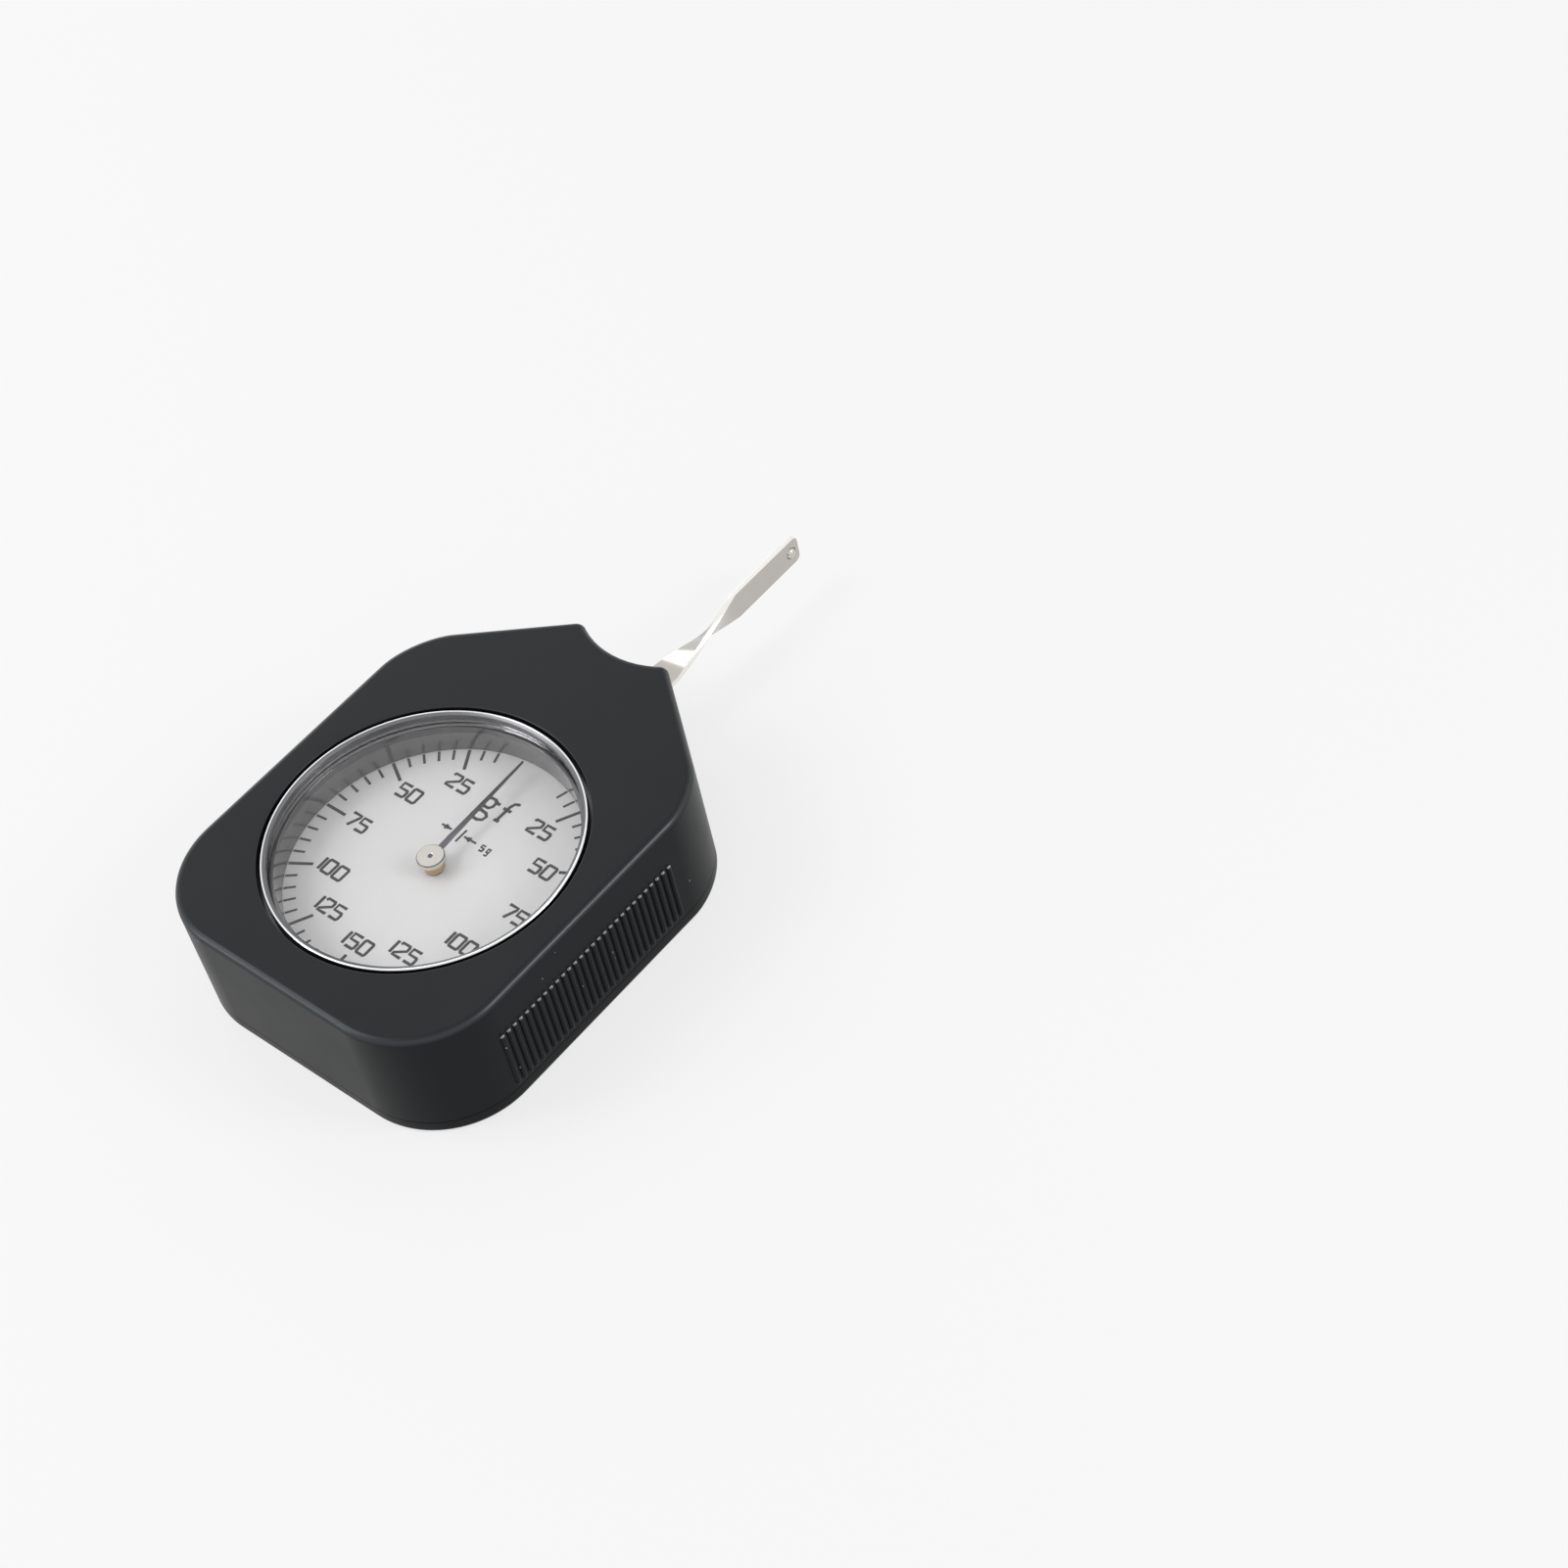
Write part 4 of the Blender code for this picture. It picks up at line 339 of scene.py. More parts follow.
# %% Group: turning marks
def make_turning_group():
    """Fine rings about an upright axis at Axis Y."""
    tree, start, end = new_group("turning_marks", {"Scale": 9000.0, "Axis Y": 0.0}, ("Marks",))
    place = own_place(tree)
    axis = add_node(tree, "CombineXYZ", Y=start.outputs["Axis Y"])
    shift = add_node(tree, "VectorMath", {"operation": "SUBTRACT"},
                     (place, axis.outputs["Vector"]))
    length = calculate(tree, "ADD", reach_of(tree, shift.outputs["Vector"]),
                       height_of(tree, place))
    noise = add_node(tree, "TexNoise", {"noise_dimensions": "1D"}, W=length,
                     Scale=start.outputs["Scale"], Detail=2.0)
    feed(tree, end.inputs["Marks"], noise.outputs["Fac"])
    return tree


TURNING = make_turning_group()
print("group:", TURNING.name)

# %% [markdown]
# A strip that is ground and polished along its length keeps hair lines in
# that direction.  A noise that is squeezed across the strip and drawn out
# along it gives them.

# %% Group: hair lines
def make_hairline_group():
    """Fine lines along Y."""
    tree, start, end = new_group("hair_lines", {"Scale": 9000.0, "Stretch": 0.02}, ("Marks",))
    stretch = add_node(tree, "CombineXYZ", X=1.0, Y=start.outputs["Stretch"], Z=1.0)
    squeeze = add_node(tree, "VectorMath", {"operation": "MULTIPLY"},
                       (own_place(tree), stretch.outputs["Vector"]))
    noise = add_node(tree, "TexNoise", Vector=squeeze.outputs["Vector"],
                     Scale=start.outputs["Scale"], Detail=2.0)
    feed(tree, end.inputs["Marks"], noise.outputs["Fac"])
    return tree


HAIRLINES = make_hairline_group()
print("group:", HAIRLINES.name)

# %% [markdown]
# Each finish below sets the colour, the gloss and the metal value on the
# shader itself where they are even, and lets the groups above change them a
# little over the surface.

# %% Finish helpers
def vary(tree, shader, name, mask, low, high):
    """Drive a socket of the shader between two values with a mask from 0 to 1."""
    feed(tree, shader.inputs[name], spread(tree, mask, low, high))


def emboss(tree, shader, mask, depth):
    """Raise the surface by a mask, up to a depth in millimetres."""
    bump = add_node(tree, "Bump", Strength=1.0, Distance=depth * MM, Height=mask)
    feed(tree, shader.inputs["Normal"], bump.outputs["Normal"])


def mixed_colour(tree, mask, first, second):
    """A colour between two others, by a mask."""
    mix = add_node(tree, "Mix", {"data_type": "RGBA"})
    for index, value in ((0, mask), (6, first), (7, second)):
        feed(tree, mix.inputs[index], value)
    return mix.outputs[2]


def tint(tree, shader, mask, first, second):
    """Let the base colour go from one colour to another with a mask."""
    feed(tree, shader.inputs["Base Color"], mixed_colour(tree, mask, first, second))


def tint_dusty(tree, shader, mask, first, second, dust, **specks):
    """Tint the base colour and strew specks of dust on it."""
    plain = mixed_colour(tree, mask, first, second)
    tint(tree, shader, use_group(tree, DUST, **specks).outputs["Specks"], plain, dust)


print("materials so far:", [material.name for material in bpy.data.materials])

# %% [markdown]
# The body is satin black plastic.  Its top reads as a dark cool grey because
# it mirrors the sky weakly, so the colour underneath is nearly black.  The
# walls mirror even less, since the mould leaves a duller skin on them.  Hands
# polish the rounded edges and, most of all, the upper ends of the ribs.

# %% Finish: black plastic
PLASTIC_DARK = (0.0052, 0.0056, 0.0064)
PLASTIC_LIGHT = (0.0080, 0.0085, 0.0094)
PLASTIC_ROUGHNESS, SMOOTHER, ROUGHER = 0.34, 0.06, 0.08
PLASTIC_GLOSS, WALL_GLOSS, EDGE_GLOSS = 0.29, 0.10, 0.60
EDGE_SLOPE, FLAT_SLOPE = 0.7, 0.99
PLASTIC_TINT = (0.86, 0.94, 1.0)
DUST_COLOUR = (0.30, 0.30, 0.29)
MOULD_GRAIN = {"Grain_Scale": 4200.0, "Cloud_Scale": 70.0}


def gloss_by_slope(tree):
    """Little gloss on walls, the most on rounded edges, a middle one on flats."""
    facing = add_node(tree, "TexCoord").outputs["Normal"]
    level = calculate(tree, "ABSOLUTE", height_of(tree, facing))
    up_to_edge = spread(tree, level, WALL_GLOSS, EDGE_GLOSS, 0.0, EDGE_SLOPE, "SMOOTHSTEP")
    down_to_flat = spread(tree, level, 0.0, EDGE_GLOSS - PLASTIC_GLOSS, EDGE_SLOPE, FLAT_SLOPE,
                          "SMOOTHSTEP")
    return calculate(tree, "SUBTRACT", up_to_edge, down_to_flat)


def make_black_plastic():
    """Satin moulded plastic with grain, faint clouds and dust."""
    material, tree, shader = new_finish("black_plastic", PLASTIC_DARK, PLASTIC_ROUGHNESS,
                                        Specular_Tint=PLASTIC_TINT,
                                        Specular_IOR_Level=PLASTIC_GLOSS)
    feed(tree, shader.inputs["Specular IOR Level"], gloss_by_slope(tree))
    grain = use_group(tree, GRAIN, **MOULD_GRAIN)
    tint_dusty(tree, shader, grain.outputs["Clouds"], PLASTIC_DARK, PLASTIC_LIGHT, DUST_COLOUR,
               Scale=330.0, Size=0.045, Share=0.16)
    vary(tree, shader, "Roughness", grain.outputs["Clouds"], PLASTIC_ROUGHNESS - SMOOTHER,
         PLASTIC_ROUGHNESS + ROUGHER)
    emboss(tree, shader, grain.outputs["Grain"], depth=0.006)
    return material


def make_rib_polish():
    """Black plastic rubbed to a gloss."""
    material, tree, shader = new_finish("rib_polish", PLASTIC_LIGHT, roughness=0.08, IOR=1.9,
                                        Specular_IOR_Level=1.0)
    grain = use_group(tree, GRAIN, **MOULD_GRAIN)
    tint(tree, shader, grain.outputs["Clouds"], PLASTIC_DARK, PLASTIC_LIGHT)
    vary(tree, shader, "Roughness", grain.outputs["Grain"], low=0.05, high=0.11)
    return material


BLACK_PLASTIC = make_black_plastic()
RIB_POLISH = make_rib_polish()
print("finishes:", BLACK_PLASTIC.name, RIB_POLISH.name)

# %% [markdown]
# The arm, the ring and the wall below the crystal are steel, and the movement
# is brass, bronze and steel.  Each metal is either turned or ground, so one
# function makes them all from the marks of that work.  The marks change the
# roughness and the height, and wide clouds dull the colour a little.

# %% Finish: metals
# The near white steel of the arm's narrow sides is a painted highlight; the broad faces keep the warm
# steel.
WARM_STEEL, EDGE_PAINTED_HIGHLIGHT_STEEL = (0.56, 0.53, 0.495), (0.93, 0.91, 0.87)
WALL_STEEL, SATIN_STEEL = (0.125, 0.125, 0.13), (0.50, 0.50, 0.50)
BRASS, DEEP_BRASS = (0.70, 0.48, 0.20), (0.52, 0.31, 0.13)
BRONZE, NICKEL = (0.58, 0.38, 0.20), (0.64, 0.61, 0.56)
GUNMETAL = (0.085, 0.075, 0.095)
METAL_GRAIN_SCALE = 3000.0
TURNED_MARKS = {"Scale": 9000.0}
GROUND_MARKS = {"Scale": 8000.0, "Stretch": 0.015}
TURNED = {"group": TURNING, "marks": TURNED_MARKS, "clouds": 160.0, "dull": 0.86, "rough": 1.5}
GROUND = {"group": HAIRLINES, "marks": GROUND_MARKS, "clouds": 120.0, "dull": 0.84, "rough": 1.6}
SMOOTHEST = 0.6


def make_metal(name, work, colour, roughness, depth=0.001, **sockets):
    """Bare metal with the marks of how it was worked."""
    material, tree, shader = new_finish(name, colour, roughness, 1.0)
    marks = use_group(tree, work["group"], **work["marks"], **sockets).outputs["Marks"]
    grain = use_group(tree, GRAIN, Grain_Scale=METAL_GRAIN_SCALE, Cloud_Scale=work["clouds"])
    dull = tuple(work["dull"] * part for part in colour)
    tint(tree, shader, grain.outputs["Clouds"], colour, dull)
    vary(tree, shader, "Roughness", marks, roughness * SMOOTHEST, roughness * work["rough"])
    emboss(tree, shader, marks, depth)
    return material


POLISHED_WALL = make_metal("polished_wall", TURNED, WALL_STEEL, roughness=0.12, depth=0.0001)
POLISHED_ARM = make_metal("polished_arm", GROUND, WARM_STEEL, roughness=0.14)
EDGE_PAINTED_HIGHLIGHT = make_metal("edge_painted_highlight", GROUND, EDGE_PAINTED_HIGHLIGHT_STEEL, roughness=0.30)
BALL_NICKEL = make_metal("ball_nickel", GROUND, NICKEL, roughness=0.14)
DARK_BRASS = make_metal("dark_brass", TURNED, DEEP_BRASS, roughness=0.12)
TURNED_BRASS = make_metal("turned_brass", TURNED, BRASS, roughness=0.20)
GROUND_BRASS = make_metal("ground_brass", GROUND, BRASS, roughness=0.30)
TURNED_BRONZE = make_metal("turned_bronze", TURNED, BRONZE, roughness=0.30)
SATIN = make_metal("satin_steel", TURNED, SATIN_STEEL, roughness=0.30)
BLUED = make_metal("blued_steel", GROUND, GUNMETAL, roughness=0.32)
print("metals:", [metal.name for metal in (POLISHED_WALL, POLISHED_ARM, TURNED_BRASS, BLUED)])

# %% [markdown]
# Three metals change colour along the radius, and every change is painted
# light.  The ring has a painted highlight on its rim beyond a slope darkened
# as a painted reflection, the cap has a painted dark reflection on its rim
# round its bright roof, and the pointer fades from a painted reflection near
# the hub to near black at its tip.  The distance from the dial's axis is the
# mask, and for the two rims the height limits it as well.

# %% Finish: metals with painted light along the radius
# The ring's pale rim colour is a painted highlight and its dark slope colour a painted reflection.
RING_SLOPE_PAINTED_DARK, RING_RIM_PAINTED_HIGHLIGHT, CAP_RIM_PAINTED_DARK = (0.17, 0.17, 0.18), (0.82, 0.83, 0.84), (0.13, 0.12, 0.11)
RIM_WIDTH, RIM_HEIGHT = 0.03, 0.05
RING_RIM_RADIUS, RING_RIM_Z = 22.06, 19.68
# The cap's rim band is a painted dark reflection on the same nickel.
CAP_RIM_RADIUS, CAP_RIM_Z = 1.84, 15.03
# The pointer's fade from the blued colour near the hub to a near black tip is a painted reflection.
GUNMETAL_PAINTED_DARK_TIP = (0.012, 0.012, 0.014)
BLADE_DARKENS, BLADE_DARK = 4.0, 11.0


def along_radius(tree, start, stop):
    """A mask that rises from 0 to 1 between two radii about the dial's axis."""
    return spread(tree, reach_of(tree, own_place(tree)), 0.0, 1.0, start * MM, stop * MM)


def make_metal_with_painted_rim(name, plain, rim, radius, foot_z, plain_roughness, rim_roughness):
    """One metal whose rim, beyond a radius and above a height, gets a painted colour and a roughness of
    its own.
    """
    material, tree, shader = new_finish(name, plain, plain_roughness, 1.0)
    above = spread(tree, height_of(tree, own_place(tree)), 0.0, 1.0, foot_z * MM,
                   (foot_z + RIM_HEIGHT) * MM)
    both = calculate(tree, "MULTIPLY", along_radius(tree, radius, radius + RIM_WIDTH), above)
    tint(tree, shader, both, plain, rim)
    vary(tree, shader, "Roughness", both, plain_roughness, rim_roughness)
    marks = use_group(tree, TURNING, **TURNED_MARKS)
    emboss(tree, shader, marks.outputs["Marks"], depth=0.0005)
    return material


def make_needle_metal():
    """Blued strip with a painted reflection: lighter near the hub, darker towards the tip."""
    material, tree, shader = new_finish("blued_needle", GUNMETAL, 0.34, 1.0)
    tint(tree, shader, along_radius(tree, BLADE_DARKENS, BLADE_DARK), GUNMETAL, GUNMETAL_PAINTED_DARK_TIP)
    lines = use_group(tree, HAIRLINES, **GROUND_MARKS).outputs["Marks"]
    vary(tree, shader, "Roughness", lines, low=0.26, high=0.44)
    emboss(tree, shader, lines, depth=0.001)
    return material


# Painted highlight on the ring's crest, painted dark reflection on its slope.
POLISHED_RING = make_metal_with_painted_rim("polished_ring", RING_SLOPE_PAINTED_DARK, RING_RIM_PAINTED_HIGHLIGHT, RING_RIM_RADIUS,
                                  RING_RIM_Z, plain_roughness=0.34, rim_roughness=0.10)
# Painted dark reflection on the cap's rounded rim, round the plain nickel roof.
CAP_NICKEL = make_metal_with_painted_rim("cap_nickel", NICKEL, CAP_RIM_PAINTED_DARK, CAP_RIM_RADIUS,
                               CAP_RIM_Z, plain_roughness=0.12, rim_roughness=0.06)
BLUED_NEEDLE = make_needle_metal()
print("metals:", POLISHED_RING.name, CAP_NICKEL.name, BLUED_NEEDLE.name)

# %% [markdown]
# The dial is matt silver, pale enough to look white next to the body.  The
# ink is a dull black that lies on it as a thin film.

# %% Finish: dial and ink
DIAL_SILVER, DIAL_SHADE = (0.645, 0.645, 0.645), (0.605, 0.605, 0.607)
DIAL_DUST = (0.30, 0.30, 0.31)
INK_BLACK, INK_DEEP, INK_WORN = (0.004, 0.004, 0.005), (0.002, 0.002, 0.003), (0.008, 0.008, 0.009)


def make_dial_silver():
    """Matt silver with a fine grain."""
    material, tree, shader = new_finish("dial_silver", DIAL_SILVER, 0.5, metallic=0.15)
    grain = use_group(tree, GRAIN, Grain_Scale=9000.0, Cloud_Scale=120.0)
    tint_dusty(tree, shader, grain.outputs["Clouds"], DIAL_SILVER, DIAL_SHADE, DIAL_DUST,
               Scale=260.0, Size=0.035, Share=0.10)
    vary(tree, shader, "Roughness", grain.outputs["Grain"], low=0.42, high=0.58)
    emboss(tree, shader, grain.outputs["Grain"], depth=0.002)
    return material


def make_ink():
    """Dull black print."""
    material, tree, shader = new_finish("black_ink", INK_BLACK, 0.55, Specular_IOR_Level=0.15)
    grain = use_group(tree, GRAIN, Grain_Scale=12000.0, Cloud_Scale=400.0)
    tint(tree, shader, grain.outputs["Clouds"], INK_DEEP, INK_WORN)
    vary(tree, shader, "Roughness", grain.outputs["Grain"], low=0.45, high=0.65)
    return material


SILVER = make_dial_silver()
INK = make_ink()
print("finishes:", SILVER.name, INK.name)

# %% [markdown]
# The crystal is clear and flat.  Lamps can't shine through a refracting
# solid without long sampling, so for shadow rays alone it is let through by
# its alpha, and the dial below is lit as it is in air.

# %% Finish: crystal
CRYSTAL_GLOSS, SHADOW_SHARE = 0.10, 0.04


def make_crystal_glass():
    """Clear bloomed crystal that mirrors little and lets lamp light through."""
    material, tree, shader = new_finish("clear_crystal", (1.0, 1.0, 1.0), 0.0, IOR=1.49,
                                        Transmission_Weight=1.0,
                                        Specular_IOR_Level=CRYSTAL_GLOSS)
    grain = use_group(tree, GRAIN, Grain_Scale=1500.0, Cloud_Scale=60.0)
    vary(tree, shader, "Roughness", grain.outputs["Clouds"], low=0.0, high=0.03)
    path = add_node(tree, "LightPath")
    vary(tree, shader, "Alpha", path.outputs["Is Shadow Ray"], low=1.0, high=SHADOW_SHARE)
    return material


CRYSTAL_GLASS = make_crystal_glass()
print("finish:", CRYSTAL_GLASS.name)

# %% [markdown]
# New pieces start as a bmesh and end through one function.  It closes doubles,
# turns the faces outwards, shades round forms smooth but keeps real edges
# sharp, hangs the piece from the empty of the body it rides on, and hides the
# frame's solids that it stands for.
# Normals are weighted by area, so that a flat stays flat next to its fillet.

# %% Piece helpers
DOUBLES = 0.0005 * MM


def add_piece(name, bm, material, body, replaces=(), crease_deg=32.0):
    """Finish a bmesh as a piece of the gauge."""
    bmesh.ops.remove_doubles(bm, verts=bm.verts, dist=DOUBLES)
    bmesh.ops.recalc_face_normals(bm, faces=bm.faces)
    mesh = mesh_from(name, bm)
    mesh.shade_smooth()
    mesh.set_sharp_from_angle(angle=math.radians(crease_deg))
    mesh.materials.append(material)
    piece = show(name, mesh)
    weighted = piece.modifiers.new("flats_stay_flat", "WEIGHTED_NORMAL")
    weighted.keep_sharp = True
    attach(piece, body)
    if replaces:
        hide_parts(*replaces)
    return piece


def turned(profile, steps, close=True):
    """Spin a profile of (radius, z) in millimetres about Z."""
    bm = bmesh.new()
    verts = [bm.verts.new((radius * MM, 0.0, z * MM)) for radius, z in profile]
    edges = [bm.edges.new(pair) for pair in zip(verts, verts[1:])]
    if close:
        edges.append(bm.edges.new((verts[-1], verts[0])))
    bmesh.ops.spin(bm, geom=verts + edges, cent=(0, 0, 0), axis=(0, 0, 1),
                   angle=2 * math.pi, steps=steps, use_merge=True)
    bmesh.ops.remove_doubles(bm, verts=bm.verts, dist=DOUBLES)
    bmesh.ops.recalc_face_normals(bm, faces=bm.faces)
    return bm


def move(bm, verts, x=0.0, y=0.0, z=0.0):
    """Shift corners by millimetres."""
    bmesh.ops.translate(bm, verts=verts, vec=(x * MM, y * MM, z * MM))


def turn_about_z(bm, verts, degrees):
    """Turn corners about the Z axis."""
    bmesh.ops.rotate(bm, verts=verts, cent=(0, 0, 0),
                     matrix=Matrix.Rotation(math.radians(degrees), 3, "Z"))


def raise_faces(bm, faces, height, y=0.0):
    """Extrude faces by millimetres, upwards or along Y."""
    made = bmesh.ops.extrude_face_region(bm, geom=faces)["geom"]
    move(bm, [v for v in made if isinstance(v, bmesh.types.BMVert)], y=y, z=height)


def round_edges(bm, edges, width, segments, **limits):
    """Bevel edges to a width in millimetres and return the new faces."""
    return bmesh.ops.bevel(bm, geom=edges, offset=width * MM, segments=segments, profile=0.5,
                           affect="EDGES", material=-1, **limits)["faces"]


def soften(bm, width, segments, least_deg=40.0):
    """Round the edges that are sharper than an angle."""
    bmesh.ops.recalc_face_normals(bm, faces=bm.faces)
    sharp = [e for e in bm.edges
             if len(e.link_faces) == 2 and e.calc_face_angle() > math.radians(least_deg)]
    round_edges(bm, sharp, width, segments, clamp_overlap=True)


def span(node, axis):
    """Lowest and highest coordinate of a node in millimetres."""
    low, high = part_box(node)
    return low[axis] / MM, high[axis] / MM


print("cover spans", [round(value, 2) for value in span("rear_cover", 0)])

# %% [markdown]
# Edges and faces that lie level at a height are asked for again and again,
# because the window, the seam and the countersinks all open in such faces.

# %% Helpers for level faces and edges
NEAR = 0.001 * MM


def lies_at(item, axis, value):
    """Whether all corners of a face or an edge have one coordinate, in millimetres."""
    return all(abs(v.co[axis] - value * MM) < NEAR for v in item.verts)


def level_faces(bm, z):
    """Faces that lie flat at a height."""
    return [f for f in bm.faces if lies_at(f, 2, z)]


def level_border(bm, z):
    """Open edges at a height."""
    return [e for e in bm.edges if len(e.link_faces) < 2 and lies_at(e, 2, z)]


def fill_level(bm, z, up):
    """Fill the flat region between all open edges at a height."""
    bmesh.ops.triangle_fill(bm, edges=level_border(bm, z), use_beauty=True, normal=(0, 0, up))


def add_circle(bm, radius, z, x=0.0, y=0.0, steps=128):
    """A level circle of edges, in millimetres."""
    verts = bmesh.ops.create_circle(bm, segments=steps, radius=radius * MM,
                                    cap_ends=False)["verts"]
    move(bm, verts, x, y, z)
    return list({e for v in verts for e in v.link_edges})


def remove_faces(bm, faces):
    """Take faces away and keep their edges."""
    bmesh.ops.delete(bm, geom=faces, context="FACES_ONLY")


print("two corners are level within", NEAR / MM, "mm")

# %% [markdown]
# The body's outline is a heel, two straight flanks, two sloping shoulders and
# a nose with a shallow scallop.  A row of points could be typed in, but then
# every rounding would be guesswork.  Instead the plain corners are joined, the
# scallop is one point spun through its arc, and each corner is rounded after
# the extrusion by a bevel whose width follows from the real radius.

# %% Corners of the body
HALF_WIDTH, NOSE_HALF = 27.3, 7.9
HEEL_Y, SHOULDER_Y, NOSE_Y, SCALLOP_Y = -29.2, 25.8, 41.1, 38.8
HEEL_RADIUS, SHOULDER_RADIUS, NOSE_RADIUS = 14.1, 13.0, 1.4
WALL, TOP_WALL, CAVITY_END_Y = 2.0, 2.2, 36.2
SEAM_Z, TOP_Z = span("front_housing", 2)
COVER_TOP_Z = 2.2
RIM_LEAST_DEG = 40.0
UPRIGHT_LEAST = 0.5


def spin_arc(bm, start, centre, angle_deg, steps):
    """Sweep one corner through an arc and return the corners of the arc in order."""
    first = bm.verts.new((start[0] * MM, start[1] * MM, 0.0))
    bmesh.ops.spin(bm, geom=[first], cent=(centre[0] * MM, centre[1] * MM, 0.0),
                   axis=(0, 0, 1), angle=math.radians(angle_deg), steps=steps, use_merge=False)
    chain = [first]
    while True:
        onward = [e.other_vert(chain[-1]) for e in chain[-1].link_edges]
        onward = [v for v in onward if v not in chain]
        if not onward:
            return chain
        chain.append(onward[0])


def body_face(bm, z):
    """The flat outline face with its scallop, before its corners are rounded."""
    depth = NOSE_Y - SCALLOP_Y
    radius = (NOSE_HALF ** 2 + depth ** 2) / (2 * depth)
    sweep = 2 * math.degrees(math.asin(NOSE_HALF / radius))
    scallop = spin_arc(bm, (NOSE_HALF, NOSE_Y), (0.0, SCALLOP_Y + radius), -sweep, 12)
    plain = [(-HALF_WIDTH, SHOULDER_Y), (-HALF_WIDTH, HEEL_Y),
             (HALF_WIDTH, HEEL_Y), (HALF_WIDTH, SHOULDER_Y)]
    corners = [bm.verts.new((x * MM, y * MM, 0.0)) for x, y in plain]
    face = bm.faces.new(scallop + corners)
    move(bm, face.verts, z=z)
    return face


def cavity_face(bm, z):
    """The flat outline of the hollow inside the walls."""
    along = Vector((NOSE_HALF - HALF_WIDTH, NOSE_Y - SHOULDER_Y)).normalized()
    normal = Vector((along.y, -along.x))
    reach = normal.dot(Vector((NOSE_HALF, NOSE_Y))) - WALL
    side = HALF_WIDTH - WALL
    top_x = (reach - normal.y * CAVITY_END_Y) / normal.x
    shoulder_y = (reach - normal.x * side) / normal.y
    half = [(side, HEEL_Y + WALL), (side, shoulder_y), (top_x, CAVITY_END_Y)]
    plain = half + [(-x, y) for x, y in reversed(half)]
    return bm.faces.new([bm.verts.new((x * MM, y * MM, z * MM)) for x, y in plain])


def round_uprights(bm, x, y, radius, segments):
    """Round the upright edges at (x, y) and (-x, y) to a radius."""
    close = 10 * NEAR
    uprights = [e for e in bm.edges
                if all(abs(abs(v.co.x) - x * MM) < close and abs(v.co.y - y * MM) < close
                       for v in e.verts)
                and abs(e.verts[0].co.z - e.verts[1].co.z) > UPRIGHT_LEAST * MM]
    width = radius * math.tan(uprights[0].calc_face_angle() / 2)
    round_edges(bm, uprights, width, segments)


def round_rim(bm, z, width, segments):
    """Round the level rim at a height."""
    rim = [e for e in bm.edges if lies_at(e, 2, z) and len(e.link_faces) == 2
           and e.calc_face_angle() > math.radians(RIM_LEAST_DEG)]
    round_edges(bm, rim, width, segments)


def body_solid(bm, low, high):
    """Extruded body outline with every corner rounded."""
    raise_faces(bm, [body_face(bm, low)], high - low)
    round_uprights(bm, NOSE_HALF, NOSE_Y, NOSE_RADIUS, 6)
    round_uprights(bm, HALF_WIDTH, HEEL_Y, HEEL_RADIUS, 24)
    round_uprights(bm, HALF_WIDTH, SHOULDER_Y, SHOULDER_RADIUS, 16)


print("outline corners:", (HALF_WIDTH, HEEL_Y), (HALF_WIDTH, SHOULDER_Y), (NOSE_HALF, NOSE_Y))

# %% [markdown]
# The moulded shell is an outer skin and an inner skin.  Both come from the
# outlines above; the window joins them at the top and the flat seam joins
# them at the foot, so the shell is one closed body with real wall thickness.
# The slot for the arm is a notch that is cut through both skins.

# %% Model the shell
WINDOW_RADIUS, WINDOW_EDGE, WINDOW_EDGE_STEPS = 22.9, 0.18, 3
TOP_FILLET = 1.1
SLOT_HALF, SLOT_TOP_Z, SLOT_FROM_Y, SKIN_GAP = 6.92, 9.6, 35.0, 0.6


def open_window(bm, z, radius):
    """Replace the flat face at a height by a ring face round the window."""
    remove_faces(bm, level_faces(bm, z))
    mouth = add_circle(bm, radius, z)
    fill_level(bm, z, up=1)
    return mouth


def round_mouth(bm, mouth, z):
    """Lead the window's edge over a quarter round into its wall."""
    for step in range(1, WINDOW_EDGE_STEPS + 1):
        angle = math.radians(90 * step / WINDOW_EDGE_STEPS)
        lower = add_circle(bm, WINDOW_RADIUS + WINDOW_EDGE * (1 - math.sin(angle)),
                           z - WINDOW_EDGE * (1 - math.cos(angle)))
        bmesh.ops.bridge_loops(bm, edges=mouth + lower)
        mouth = lower


def open_notch(bm, half, top_z, from_y, split_y):
    """Cut a notch through an inner and an outer skin, and close its sides."""
    cuts = [((half, 0, 0), (1, 0, 0)), ((-half, 0, 0), (1, 0, 0)), ((0, 0, top_z), (0, 0, 1))]
    for place, normal in cuts:
        near = [f for f in bm.faces if f.calc_center_median().y > from_y * MM]
        edges = {e for f in near for e in f.edges}
        verts = {v for f in near for v in f.verts}
        bmesh.ops.bisect_plane(bm, geom=near + list(edges) + list(verts), dist=NEAR / 10,
                               plane_co=Vector(place) * MM, plane_no=normal)
    gone = []
    for face in bm.faces:
        middle = face.calc_center_median() / MM
        if middle.y > from_y and abs(middle.x) < half and middle.z < top_z:
            gone.append(face)
    bmesh.ops.delete(bm, geom=gone, context="FACES")
    border = [e for e in bm.edges if len(e.link_faces) == 1]
    inner = [e for e in border if all(v.co.y < split_y * MM for v in e.verts)]
    outer = [e for e in border if all(v.co.y > split_y * MM for v in e.verts)]
    bmesh.ops.bridge_loops(bm, edges=inner + outer)


